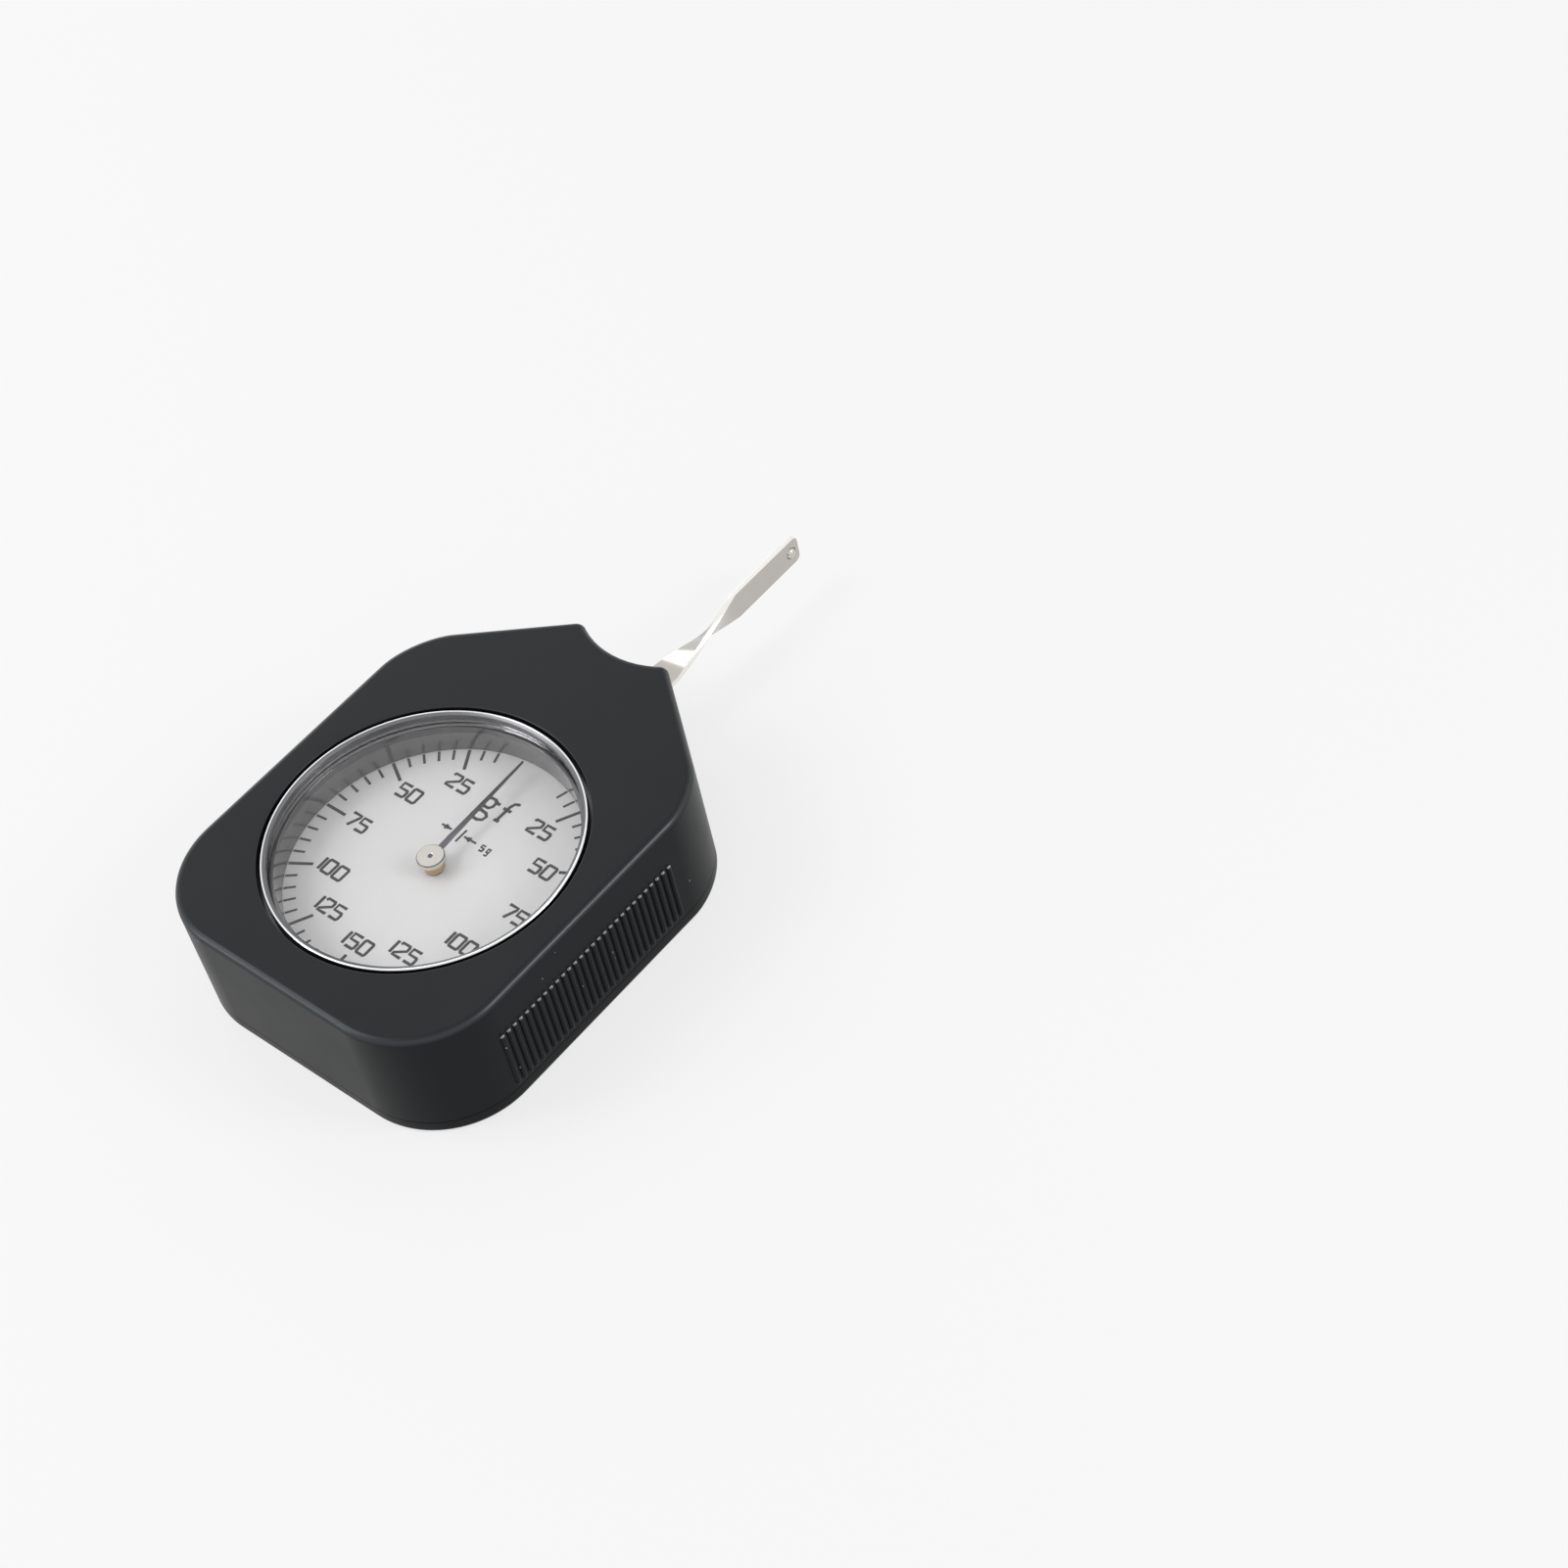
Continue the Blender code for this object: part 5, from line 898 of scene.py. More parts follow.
def make_hollow():
    """The inner skin, open at the window and at the seam."""
    bm = bmesh.new()
    raise_faces(bm, [cavity_face(bm, SEAM_Z)], TOP_Z - TOP_WALL - SEAM_Z)
    round_uprights(bm, HALF_WIDTH - WALL, HEEL_Y + WALL, HEEL_RADIUS - WALL, 16)
    open_window(bm, TOP_Z - TOP_WALL, WINDOW_RADIUS)
    remove_faces(bm, level_faces(bm, SEAM_Z))
    return mesh_from("hollow", bm)


def make_shell_mesh():
    """The shell with its window, its hollow and the slot for the arm."""
    bm = bmesh.new()
    body_solid(bm, SEAM_Z, TOP_Z)
    round_rim(bm, TOP_Z, TOP_FILLET, 6)
    round_mouth(bm, open_window(bm, TOP_Z, WINDOW_RADIUS + WINDOW_EDGE), TOP_Z)
    remove_faces(bm, level_faces(bm, SEAM_Z))
    hollow = make_hollow()
    bm.from_mesh(hollow)
    bpy.data.meshes.remove(hollow)
    mouths = [e for e in bm.edges if len(e.link_faces) == 1 and not lies_at(e, 2, SEAM_Z)]
    bmesh.ops.bridge_loops(bm, edges=mouths)
    fill_level(bm, SEAM_Z, up=-1)
    open_notch(bm, SLOT_HALF, SLOT_TOP_Z, SLOT_FROM_Y, CAVITY_END_Y + SKIN_GAP)
    return bm


shell = make_shell_mesh()
print("shell faces:", len(shell.faces),
      "open edges:", len([e for e in shell.edges if len(e.link_faces) != 2]))

# %% [markdown]
# Both long sides carry a row of upright grip ribs, each a thin half-round post
# with rounded ends.  One post is made from a cylinder with bevelled ends and
# then copied, because the mould repeats it exactly.

# %% Add the grip ribs
RIB_COUNT, RIB_PITCH, RIB_ROW_Y = 29, 1.18, 0.8
RIB_X, RIB_RADIUS, RIB_FOOT_Z, RIB_TOP_Z = 27.24, 0.42, 3.1, 13.7
RIB_ROUNDING, RIB_POLISH_REACH, RIB_ROOM = 0.28, 0.26, 0.01


def add_ribs(bm):
    """Two rows of half-round posts sunk in the side walls."""
    post = bmesh.ops.create_cone(bm, cap_ends=True, segments=16, radius1=RIB_RADIUS * MM,
                                 radius2=RIB_RADIUS * MM, depth=(RIB_TOP_Z - RIB_FOOT_Z) * MM)
    ends = {e for v in post["verts"] for e in v.link_edges
            if abs(e.verts[0].co.z - e.verts[1].co.z) < NEAR}
    rounded = round_edges(bm, list(ends), RIB_ROUNDING, 3)
    first = list({v for f in rounded for v in f.verts})
    first_faces = list({f for v in first for f in v.link_faces})
    move(bm, first, z=(RIB_TOP_Z + RIB_FOOT_Z) / 2)
    for side in (-1, 1):
        for index in range(RIB_COUNT):
            copy = bmesh.ops.duplicate(bm, geom=first_faces)["geom"]
            move(bm, [v for v in copy if isinstance(v, bmesh.types.BMVert)],
                 x=side * RIB_X, y=RIB_ROW_Y + (index - (RIB_COUNT - 1) / 2) * RIB_PITCH)
    bmesh.ops.delete(bm, geom=first, context="VERTS")


def polish_rib_ends(mesh):
    """Give the rounded upper ends of the ribs their polish."""
    mesh.materials.append(RIB_POLISH)
    for face in mesh.polygons:
        x, _, z = face.center / MM
        on_rib = abs(x) > HALF_WIDTH + RIB_ROOM
        face.material_index = int(on_rib and RIB_TOP_Z - RIB_POLISH_REACH < z < RIB_TOP_Z + RIB_ROOM)


add_ribs(shell)
housing = add_piece("housing_shell", shell, BLACK_PLASTIC, "root",
                    replaces=("front_housing",))
polish_rib_ends(housing.data)
print("shell:", len(housing.data.polygons), "faces")

# %% [markdown]
# The back cover closes the shell.  It has the same outline, a rounded rear
# edge, and a tongue that fills the arm slot from below.  Four countersunk
# screws hold it, so its back face needs four cones with a hole each.

# %% Model the back cover
COVER_FILLET = 0.8
TONGUE_HALF, TONGUE_FOOT_Z, TONGUE_TOP_Z, TONGUE_END_Y = 6.62, 1.2, 6.4, 38.5
TONGUE_ROUNDING = 0.15
SINK_RADIUS, SINK_HOLE, SINK_LAND_Z, SINK_CONE_Z = 2.2, 1.0, 0.22, 1.52
SINK_STEPS = 40


def screw_places():
    """Centres of the four cover screws in millimetres, read from the frame."""
    places = []
    for number in range(1, 5):
        low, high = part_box("cover_screw_%d" % number)
        places.append((Vector(low) + Vector(high)) / 2 / MM)
    return places


def add_tongue(bm):
    """The block below the arm, with rounded edges."""
    tongue = bmesh.ops.create_cube(bm, size=1.0)["verts"]
    bmesh.ops.scale(bm, verts=tongue, vec=(2 * TONGUE_HALF * MM, (TONGUE_END_Y - CAVITY_END_Y) * MM,
                                           (TONGUE_TOP_Z - TONGUE_FOOT_Z) * MM))
    move(bm, tongue, y=(TONGUE_END_Y + CAVITY_END_Y) / 2, z=(TONGUE_TOP_Z + TONGUE_FOOT_Z) / 2)
    round_edges(bm, list({e for v in tongue for e in v.link_edges}), TONGUE_ROUNDING, 2)


def make_cover_mesh():
    """Cover plate, countersinks and tongue."""
    bm = bmesh.new()
    body_solid(bm, 0.0, COVER_TOP_Z)
    round_rim(bm, 0.0, COVER_FILLET, 5)
    remove_faces(bm, level_faces(bm, 0.0) + level_faces(bm, COVER_TOP_Z))
    for place in screw_places():
        rings = [add_circle(bm, radius, z, place.x, place.y, SINK_STEPS)
                 for radius, z in ((SINK_RADIUS, 0.0), (SINK_RADIUS, SINK_LAND_Z),
                                   (SINK_HOLE, SINK_CONE_Z), (SINK_HOLE, COVER_TOP_Z))]
        for lower, upper in zip(rings, rings[1:]):
            bmesh.ops.bridge_loops(bm, edges=lower + upper)
    fill_level(bm, 0.0, up=-1)
    fill_level(bm, COVER_TOP_Z, up=1)
    add_tongue(bm)
    return bm


cover = add_piece("back_cover", make_cover_mesh(), BLACK_PLASTIC, "root",
                  replaces=("rear_cover",))
print("cover:", len(cover.data.polygons), "faces")

# %% [markdown]
# Four slotted screws sit in those cones with their heads just below the back
# face.  The head is turned from a short profile.  A narrow slot is a groove
# between two cuts, so the flat of the head is bisected twice and the strip
# between the cuts is pressed in.  No two slots point the same way.

# %% Model the cover screws
SHANK_RADIUS, SHANK_END_Z, NECK_Z = 0.8, 6.6, 1.75
HEAD_RADIUS, CONE_FOOT_Z, HEAD_EDGE_Z, HEAD_FLAT_RADIUS, HEAD_Z = 2.1, 0.42, 0.3, 2.03, 0.24
SLOT_WIDTH, SLOT_DEPTH = 0.44, 0.35
SLOT_START_DEG, SLOT_DEG_PER_MM = 20, 9


def make_screw_mesh(place):
    """A countersunk screw whose head faces down, with a saw slot."""
    bm = turned([(SHANK_RADIUS, SHANK_END_Z), (SHANK_RADIUS, NECK_Z), (HEAD_RADIUS, CONE_FOOT_Z),
                 (HEAD_RADIUS, HEAD_EDGE_Z), (HEAD_FLAT_RADIUS, HEAD_Z)], 40, close=False)
    for z in (SHANK_END_Z, HEAD_Z):
        bmesh.ops.contextual_create(bm, geom=level_border(bm, z))
    for side in (-1, 1):
        bmesh.ops.bisect_plane(bm, geom=bm.verts[:] + bm.edges[:] + bm.faces[:],
                               plane_co=(0, side * SLOT_WIDTH / 2 * MM, 0), plane_no=(0, 1, 0))
    slot = [f for f in level_faces(bm, HEAD_Z)
            if abs(f.calc_center_median().y) < SLOT_WIDTH / 2 * MM]
    raise_faces(bm, slot, SLOT_DEPTH)
    bmesh.ops.delete(bm, geom=slot, context="FACES")
    turn_about_z(bm, bm.verts, place.x * SLOT_DEG_PER_MM + SLOT_START_DEG)
    move(bm, bm.verts, place.x, place.y)
    return bm


for number, place in enumerate(screw_places(), 1):
    add_piece("slotted_screw_%d" % number, make_screw_mesh(place), SATIN, "root",
              replaces=("cover_screw_%d" % number,))
print("screws:", number)

# %% [markdown]
# The bright ring is one turned part: a sloping lip in front, a bore that holds
# the crystal, a flange behind the body's top wall and a skirt down to the
# dial.  Spinning its section gives all of that at once.  The outer edge of the
# lip ends in a rounded crest, which catches the light as the real one does.
# The grey wall between crystal and dial is a second, plainer section.

# %% Model the polished ring
RING_RADIUS, RING_BORE, RING_STEPS = 22.40, 21.95, 160
FLANGE_RADIUS, FLANGE_FOOT_Z, FLANGE_TOP_Z = 23.95, 16.60, 17.50
SKIRT_RADIUS, SKIRT_FOOT_Z = 22.65, 12.55
LIP_BORE, LIP_FOOT_Z = 21.60, 18.80
LIP_CREST = [(21.60, 19.72), (21.63, 19.78), (22.00, 19.88), (22.06, 19.94), (22.14, 19.97),
             (22.22, 19.98), (22.30, 19.94), (22.37, 19.86)]
CREST_FOOT_Z = 19.76
WALL_RADIUS, WALL_BORE, WALL_FOOT_Z, WALL_TOP_Z = 21.85, 21.05, 12.57, 17.24
EDGE_BREAK, FINE_BREAK = 0.03, 0.02


def make_ring_mesh():
    """Section of the ring, spun about the dial's axis."""
    body = [(RING_RADIUS, CREST_FOOT_Z), (RING_RADIUS, FLANGE_TOP_Z),
            (FLANGE_RADIUS, FLANGE_TOP_Z), (FLANGE_RADIUS, FLANGE_FOOT_Z),
            (SKIRT_RADIUS, FLANGE_FOOT_Z), (SKIRT_RADIUS, SKIRT_FOOT_Z),
            (RING_BORE, SKIRT_FOOT_Z), (RING_BORE, LIP_FOOT_Z),
            (LIP_BORE + EDGE_BREAK, LIP_FOOT_Z), (LIP_BORE, LIP_FOOT_Z + EDGE_BREAK)]
    return turned(body + LIP_CREST, RING_STEPS)


def make_wall_mesh():
    """Section of the wall, with the edges of its bore broken."""
    return turned([(WALL_RADIUS, WALL_TOP_Z), (WALL_RADIUS, WALL_FOOT_Z),
                   (WALL_BORE + FINE_BREAK, WALL_FOOT_Z), (WALL_BORE, WALL_FOOT_Z + EDGE_BREAK),
                   (WALL_BORE, WALL_TOP_Z - EDGE_BREAK), (WALL_BORE + EDGE_BREAK, WALL_TOP_Z)],
                  RING_STEPS)


ring = add_piece("polished_ring", make_ring_mesh(), POLISHED_RING, "root",
                 replaces=("bezel_ring",), crease_deg=50.0)
wall = add_piece("polished_wall", make_wall_mesh(), POLISHED_WALL, "root",
                 replaces=("spacer_ring",))
print("ring faces:", len(ring.data.polygons), "wall faces:", len(wall.data.polygons))

# %% [markdown]
# The crystal is a flat clear disc with a fine chamfer, held under the lip.

# %% Model the crystal
CRYSTAL_RADIUS, CRYSTAL_THICKNESS, CRYSTAL_MIDDLE_Z, CRYSTAL_CHAMFER = 21.84, 1.48, 18.0, 0.12


def make_crystal_mesh():
    """Clear disc with chamfered edges."""
    bm = bmesh.new()
    bmesh.ops.create_cone(bm, cap_ends=True, segments=RING_STEPS, radius1=CRYSTAL_RADIUS * MM,
                          radius2=CRYSTAL_RADIUS * MM, depth=CRYSTAL_THICKNESS * MM)
    soften(bm, CRYSTAL_CHAMFER, 1)
    move(bm, bm.verts, z=CRYSTAL_MIDDLE_Z)
    return bm


crystal = add_piece("window_crystal", make_crystal_mesh(), CRYSTAL_GLASS, "root",
                    replaces=("crystal",), crease_deg=20.0)
print("crystal:", len(crystal.data.polygons), "faces")

# %% [markdown]
# The dial is a thin silver disc with a hole for the pointer's arbor.  Its
# print is a separate film of ink a hundredth of a millimetre above it, so its
# edges stay sharp at any distance, which painted textures wouldn't.

# %% Model the dial
DIAL_RADIUS, DIAL_HOLE, DIAL_FOOT_Z, DIAL_TOP_Z, DIAL_STEPS = 22.65, 1.30, 11.65, 12.45, 128
FILM = 0.012
PRINT_Z = DIAL_TOP_Z + FILM


def make_dial_mesh():
    """Disc with a hole and broken edges."""
    return turned([(DIAL_RADIUS - EDGE_BREAK, DIAL_TOP_Z), (DIAL_RADIUS, DIAL_TOP_Z - EDGE_BREAK),
                   (DIAL_RADIUS, DIAL_FOOT_Z + EDGE_BREAK), (DIAL_RADIUS - EDGE_BREAK, DIAL_FOOT_Z),
                   (DIAL_HOLE + FINE_BREAK, DIAL_FOOT_Z), (DIAL_HOLE, DIAL_FOOT_Z + EDGE_BREAK),
                   (DIAL_HOLE, DIAL_TOP_Z - EDGE_BREAK), (DIAL_HOLE + FINE_BREAK, DIAL_TOP_Z)],
                  DIAL_STEPS)


dial = add_piece("silver_dial", make_dial_mesh(), SILVER, "root",
                 replaces=("dial_plate",))
print("dial:", len(dial.data.polygons), "faces")

# %% [markdown]
# The scale has a mark every six degrees and a longer one every thirty, up to
# 180 degrees on both sides.  No mark stands near the top, where the unit is
# printed.  The marks are narrow bars, so each is a cube scaled to a film.

# %% Print the scale marks
MARK_STEP_DEG, LONG_STEP_DEG, FIRST_MARK_DEG = 6, 30, 18
MARK_END, SHORT_START, LONG_START = 21.00, 19.24, 17.41
SHORT_WIDTH, LONG_WIDTH = 0.39, 0.50


def add_mark(bm, start, width, degrees):
    """One flat bar from a radius to the scale's edge, turned to its place."""
    bar = bmesh.ops.create_cube(bm, size=1.0)["verts"]
    bmesh.ops.scale(bm, verts=bar, vec=(width * MM, (MARK_END - start) * MM, FILM * MM))
    move(bm, bar, y=(MARK_END + start) / 2, z=PRINT_Z)
    turn_about_z(bm, bar, degrees)


def make_scale_mesh():
    """Short marks with a longer one at every label."""
    bm = bmesh.new()
    for degrees in range(FIRST_MARK_DEG, 361 - FIRST_MARK_DEG, MARK_STEP_DEG):
        if degrees % LONG_STEP_DEG:
            add_mark(bm, SHORT_START, SHORT_WIDTH, degrees)
        else:
            add_mark(bm, LONG_START, LONG_WIDTH, degrees)
    return bm


scale_marks = add_piece("scale_marks", make_scale_mesh(), INK, "root")
print("marks:", len(scale_marks.data.polygons) // 6)

# %% [markdown]
# The numbers are drawn with one even stroke and cut corners.  A typeface has
# swelling curves, so they are drawn as paths instead.  A curve with a
# small round section gives the stroke its width, and pressing the mesh flat
# turns it into ink.

# %% Helpers for strokes
CUT = 0.10
DIGIT_PATHS = {
    "0": ([(CUT, 0), (1 - CUT, 0), (1, CUT), (1, 1 - CUT),
           (1 - CUT, 1), (CUT, 1), (0, 1 - CUT), (0, CUT)], True),
    "1": ([(0, 0), (0, 1)], False),
    "2": ([(0, 0.84), (CUT, 1), (1 - CUT, 1), (1, 0.86),
           (1, 0.62), (0, 0.14), (0, 0), (1, 0)], False),
    "5": ([(1, 1), (0, 1), (0, 0.56), (1 - CUT, 0.56),
           (1, 0.44), (1, 0.12), (1 - CUT, 0), (0, 0)], False),
    "7": ([(0, 1), (1, 1), (1, 0.84), (0.42, 0)], False),
}


def stroke_mesh(name, paths, width):
    """Press open or closed paths, in millimetres, into a film of ink."""
    curve = bpy.data.curves.new(name, "CURVE")
    curve.dimensions = "3D"
    curve.bevel_depth = width / 2 * MM
    curve.bevel_resolution = 1
    curve.use_fill_caps = True
    for points, closed in paths:
        spline = curve.splines.new("POLY")
        spline.points.add(len(points) - 1)
        for point, (x, y) in zip(spline.points, points):
            point.co = (x * MM, y * MM, 0.0, 1.0)
        spline.use_cyclic_u = closed
    drawn = show(name, curve)
    graph = bpy.context.evaluated_depsgraph_get()
    mesh = bpy.data.meshes.new_from_object(drawn.evaluated_get(graph))
    bpy.data.objects.remove(drawn)
    bpy.data.curves.remove(curve)
    bm = bmesh.new()
    bm.from_mesh(mesh)
    bpy.data.meshes.remove(mesh)
    bmesh.ops.scale(bm, verts=bm.verts, vec=(1, 1, FILM / width))
    move(bm, bm.verts, z=PRINT_Z)
    return bm


def label_paths(text, centre_x, centre_y, height, width, gap):
    """Stroke paths of a row of digits centred on a point; a 1 takes no width."""
    widths = [0.0 if digit == "1" else width for digit in text]
    left = centre_x - (sum(widths) + gap * (len(text) - 1)) / 2
    paths = []
    for digit, wide in zip(text, widths):
        shape, closed = DIGIT_PATHS[digit]
        paths.append(([(left + x * wide, centre_y + (y - 0.5) * height) for x, y in shape], closed))
        left += wide + gap
    return paths


print("digits drawn:", sorted(DIGIT_PATHS))

# %% [markdown]
# Each label stands thirty degrees on from the last, on both sides of the
# scale, and only the last one stands once, at the foot.  The real labels
# aren't quite on their circle, so most have a small shift of their own.

# %% Print the numbers
LABELS = ("25", "50", "75", "100", "125", "150")
LABEL_RADIUS = 14.9
DIGIT_HEIGHT, DIGIT_WIDTH, DIGIT_GAP, DIGIT_STROKE = 2.2, 1.5, 0.58, 0.50
LABEL_SHIFTS = {(-1, "50"): (0.48, 0.30), (-1, "100"): (0.95, -0.40), (1, "25"): (0.50, 0.0),
                (1, "50"): (-0.07, 0.45), (1, "100"): (-0.74, -0.07), (1, "125"): (-0.78, 0.16),
                (1, "150"): (0.05, -0.30)}


def number_paths():
    """Strokes of all labels of the scale."""
    paths = []
    for step, text in enumerate(LABELS, 1):
        angle = math.radians(LONG_STEP_DEG * step)
        for side in ((1,) if text == LABELS[-1] else (-1, 1)):
            shift_x, shift_y = LABEL_SHIFTS.get((side, text), (0.0, 0.0))
            paths += label_paths(text, side * LABEL_RADIUS * math.sin(angle) + shift_x,
                                 LABEL_RADIUS * math.cos(angle) + shift_y,
                                 DIGIT_HEIGHT, DIGIT_WIDTH, DIGIT_GAP)
    return paths


numbers = add_piece("scale_numbers", stroke_mesh("numbers", number_paths(), DIGIT_STROKE), INK,
                    "root")
print("digits:", len(number_paths()), "faces:", len(numbers.data.polygons))

# %% [markdown]
# Above the centre stands the unit, gram-force, as two lower-case letters in
# the same even stroke, and below it a small sign that shows how wide one
# division is: two bars with an arrow on either side, and the size beside
# them.

# %% Print the unit and the division sign
UNIT_STROKE, SIGN_STROKE = 0.52, 0.34
SIGN_Y, BAR_FOOT_Y, BAR_TOP_Y, BAR_PLACES = 6.25, 4.95, 7.3, (-0.83, -2.3)
ARROWS = ((-4.6, -2.75, -1), (1.9, -0.38, 1))
BARB_STEP, BARB_HALF = 0.35, 0.14
SIGN_DIGIT = {"centre_x": 3.2, "centre_y": 6.1, "height": 0.95, "width": 0.55, "gap": 0.0}


def make_unit_mesh():
    """The letters g and f, from the axis of the dial upwards."""
    bowl = [(-2.2, 12.3), (-1.8, 11.8), (-1.0, 11.8), (-0.6, 12.3), (-0.6, 13.0), (-1.0, 13.45),
            (-1.8, 13.45), (-2.2, 13.0)]
    ear = [(-0.9, 13.35), (-0.35, 13.1), (0.1, 13.15)]
    tail = [(-1.7, 11.8), (-2.1, 11.35), (-1.6, 11.05), (-0.6, 10.95), (-0.15, 10.5), (-0.3, 9.8),
            (-1.0, 9.45), (-1.9, 9.5), (-2.35, 9.95), (-2.2, 10.6), (-1.6, 11.05)]
    stem = [(1.45, 10.8), (1.55, 13.6), (1.8, 14.3), (2.3, 14.55), (2.55, 14.4)]
    foot = [(1.0, 10.75), (1.95, 10.8)]
    bar = [(0.85, 12.95), (2.3, 12.95)]
    return stroke_mesh("unit", [(bowl, True), (ear, False), (tail, False), (stem, False),
                                (foot, False), (bar, False)], UNIT_STROKE)


def make_division_mesh():
    """Two bars and two arrows that point at them, with the size of one division."""
    paths = [([(x, BAR_FOOT_Y), (x, BAR_TOP_Y)], False) for x in BAR_PLACES]
    for tail, point, way in ARROWS:
        paths.append(([(tail, SIGN_Y), (point, SIGN_Y)], False))
        for step in (1, 2, 3):
            back, half = point + way * BARB_STEP * step, BARB_HALF * step
            paths.append(([(back, SIGN_Y - half), (back, SIGN_Y + half)], False))
    paths += label_paths("5", **SIGN_DIGIT)
    letter = [(4.5, 5.9), (4.1, 5.9), (4.1, 6.5), (4.5, 6.5), (4.5, 5.35), (4.1, 5.35)]
    return stroke_mesh("division", paths + [(letter, False)], SIGN_STROKE)


unit = add_piece("unit_print", make_unit_mesh(), INK, "root")
division = add_piece("division_print", make_division_mesh(), INK, "root")
print("print faces:", len(unit.data.polygons) + len(division.data.polygons))

# %% [markdown]
# The pointer is stamped from thin blued strip: a round eye that grips the
# arbor and a blade that tapers in two stages.  The outline is filled round
# its hole, given its thickness, and its edges are broken by a tiny bevel so
# that they catch a line of light.  At rest it stands a hair to the left of
# the middle of the scale.

# %% Model the pointer
NEEDLE_FOOT_Z, NEEDLE_TOP_Z = 14.65, 14.85
NEEDLE_EYE, NEEDLE_BORE, NEEDLE_ROOT, NEEDLE_BREAK = 1.5, 0.55, 0.52, 0.03
BLADE = [(0.49, 1.9), (0.34, 9.8), (0.15, 19.38), (0.11, 19.52)]
REST_DEG = 2.3


def fill_flat(bm, outline, holes, z):
    """Fill a closed chain of corners round its holes, given as (x, y, radius, steps)."""
    edges = [bm.edges.get(pair) or bm.edges.new(pair)
             for pair in zip(outline, outline[1:] + outline[:1])]
    for x, y, radius, steps in holes:
        edges += add_circle(bm, radius, 0.0, x, y, steps)
    made = bmesh.ops.triangle_fill(bm, edges=edges, use_beauty=True, normal=(0, 0, 1))["geom"]
    move(bm, bm.verts, z=z)
    return [f for f in made if isinstance(f, bmesh.types.BMFace)]


def eye_arc(bm, radius, half, steps):
    """Round eye that is open upwards between -half and half."""
    open_deg = math.degrees(math.asin(half / radius))
    start = (-half, radius * math.cos(math.radians(open_deg)))
    return spin_arc(bm, start, (0.0, 0.0), 360 - 2 * open_deg, steps)


def make_needle_mesh():
    """Blade and eye of the pointer."""
    bm = bmesh.new()
    eye = eye_arc(bm, NEEDLE_EYE, NEEDLE_ROOT, 40)
    right = [bm.verts.new((x * MM, y * MM, 0)) for x, y in BLADE]
    left = [bm.verts.new((-x * MM, y * MM, 0)) for x, y in reversed(BLADE)]
    faces = fill_flat(bm, eye + right + left, [(0, 0, NEEDLE_BORE, 32)], NEEDLE_FOOT_Z)
    raise_faces(bm, faces, NEEDLE_TOP_Z - NEEDLE_FOOT_Z)
    soften(bm, NEEDLE_BREAK, 1)
    turn_about_z(bm, bm.verts, REST_DEG)
    return bm


needle = add_piece("pointer_needle", make_needle_mesh(), BLUED_NEEDLE, "pointer",
                   replaces=("pointer",))
print("needle:", [round(v / MM, 2) for v in needle.dimensions])

# %% [markdown]
# A brass boss carries the pointer and a bright cap covers its eye.  The cap
# is a small cup with a notch in its wall that lets the blade through, and a
# hole in its roof where the dark end of the arbor shows.

# %% Model the hub
CAP_RADIUS, CAP_INNER, CAP_HOLE, CAP_STEPS = 2.0, 1.72, 0.35, 96
CAP_FOOT_Z, CAP_ROOF_Z, CAP_TOP_Z, CAP_FOOT_BREAK = 14.35, 14.9, 15.2, 0.04
CAP_ROUNDING = [(0.20, 0.0), (0.10, 0.02), (0.03, 0.07), (0.0, 0.14)]
HOLE_ROUNDING = [(0.0, 0.06), (0.06, 0.01), (0.15, 0.0)]
CAP_NOTCH = {"half": 0.57, "top_z": 14.88, "from_y": 1.0, "split_y": 1.78}
BOSS_RADIUS, BOSS_BORE, BOSS_FOOT_Z, BOSS_TOP_Z = 1.5, 0.56, 12.76, 14.58
BOSS_BREAK, BOSS_STEPS = 0.06, 72


def make_cap_mesh():
    """Cup with a rounded rim, a hole for the arbor and a notch for the blade."""
    cup = [(CAP_RADIUS, CAP_FOOT_Z + CAP_FOOT_BREAK), (CAP_RADIUS - CAP_FOOT_BREAK, CAP_FOOT_Z),
           (CAP_INNER, CAP_FOOT_Z), (CAP_INNER, CAP_ROOF_Z), (CAP_HOLE, CAP_ROOF_Z)]
    hole = [(CAP_HOLE + out, CAP_TOP_Z - down) for out, down in HOLE_ROUNDING]
    rim = [(CAP_RADIUS - inward, CAP_TOP_Z - down) for inward, down in CAP_ROUNDING]
    bm = turned(cup + hole + rim, CAP_STEPS)
    open_notch(bm, **CAP_NOTCH)
    turn_about_z(bm, bm.verts, REST_DEG)
    return bm


def make_boss_mesh():
    """Turned boss with broken outer edges."""
    return turned([(BOSS_RADIUS - BOSS_BREAK, BOSS_TOP_Z), (BOSS_RADIUS, BOSS_TOP_Z - BOSS_BREAK),
                   (BOSS_RADIUS, BOSS_FOOT_Z + BOSS_BREAK), (BOSS_RADIUS - BOSS_BREAK, BOSS_FOOT_Z),
                   (BOSS_BORE, BOSS_FOOT_Z), (BOSS_BORE, BOSS_TOP_Z)], BOSS_STEPS)


cap = add_piece("hub_cap", make_cap_mesh(), CAP_NICKEL, "pointer",
                replaces=("pointer_cap",), crease_deg=50.0)
boss = add_piece("hub_boss", make_boss_mesh(), DARK_BRASS, "pointer",
                 replaces=("pointer_boss",))
print("cap faces:", len(cap.data.polygons), "boss faces:", len(boss.data.polygons))

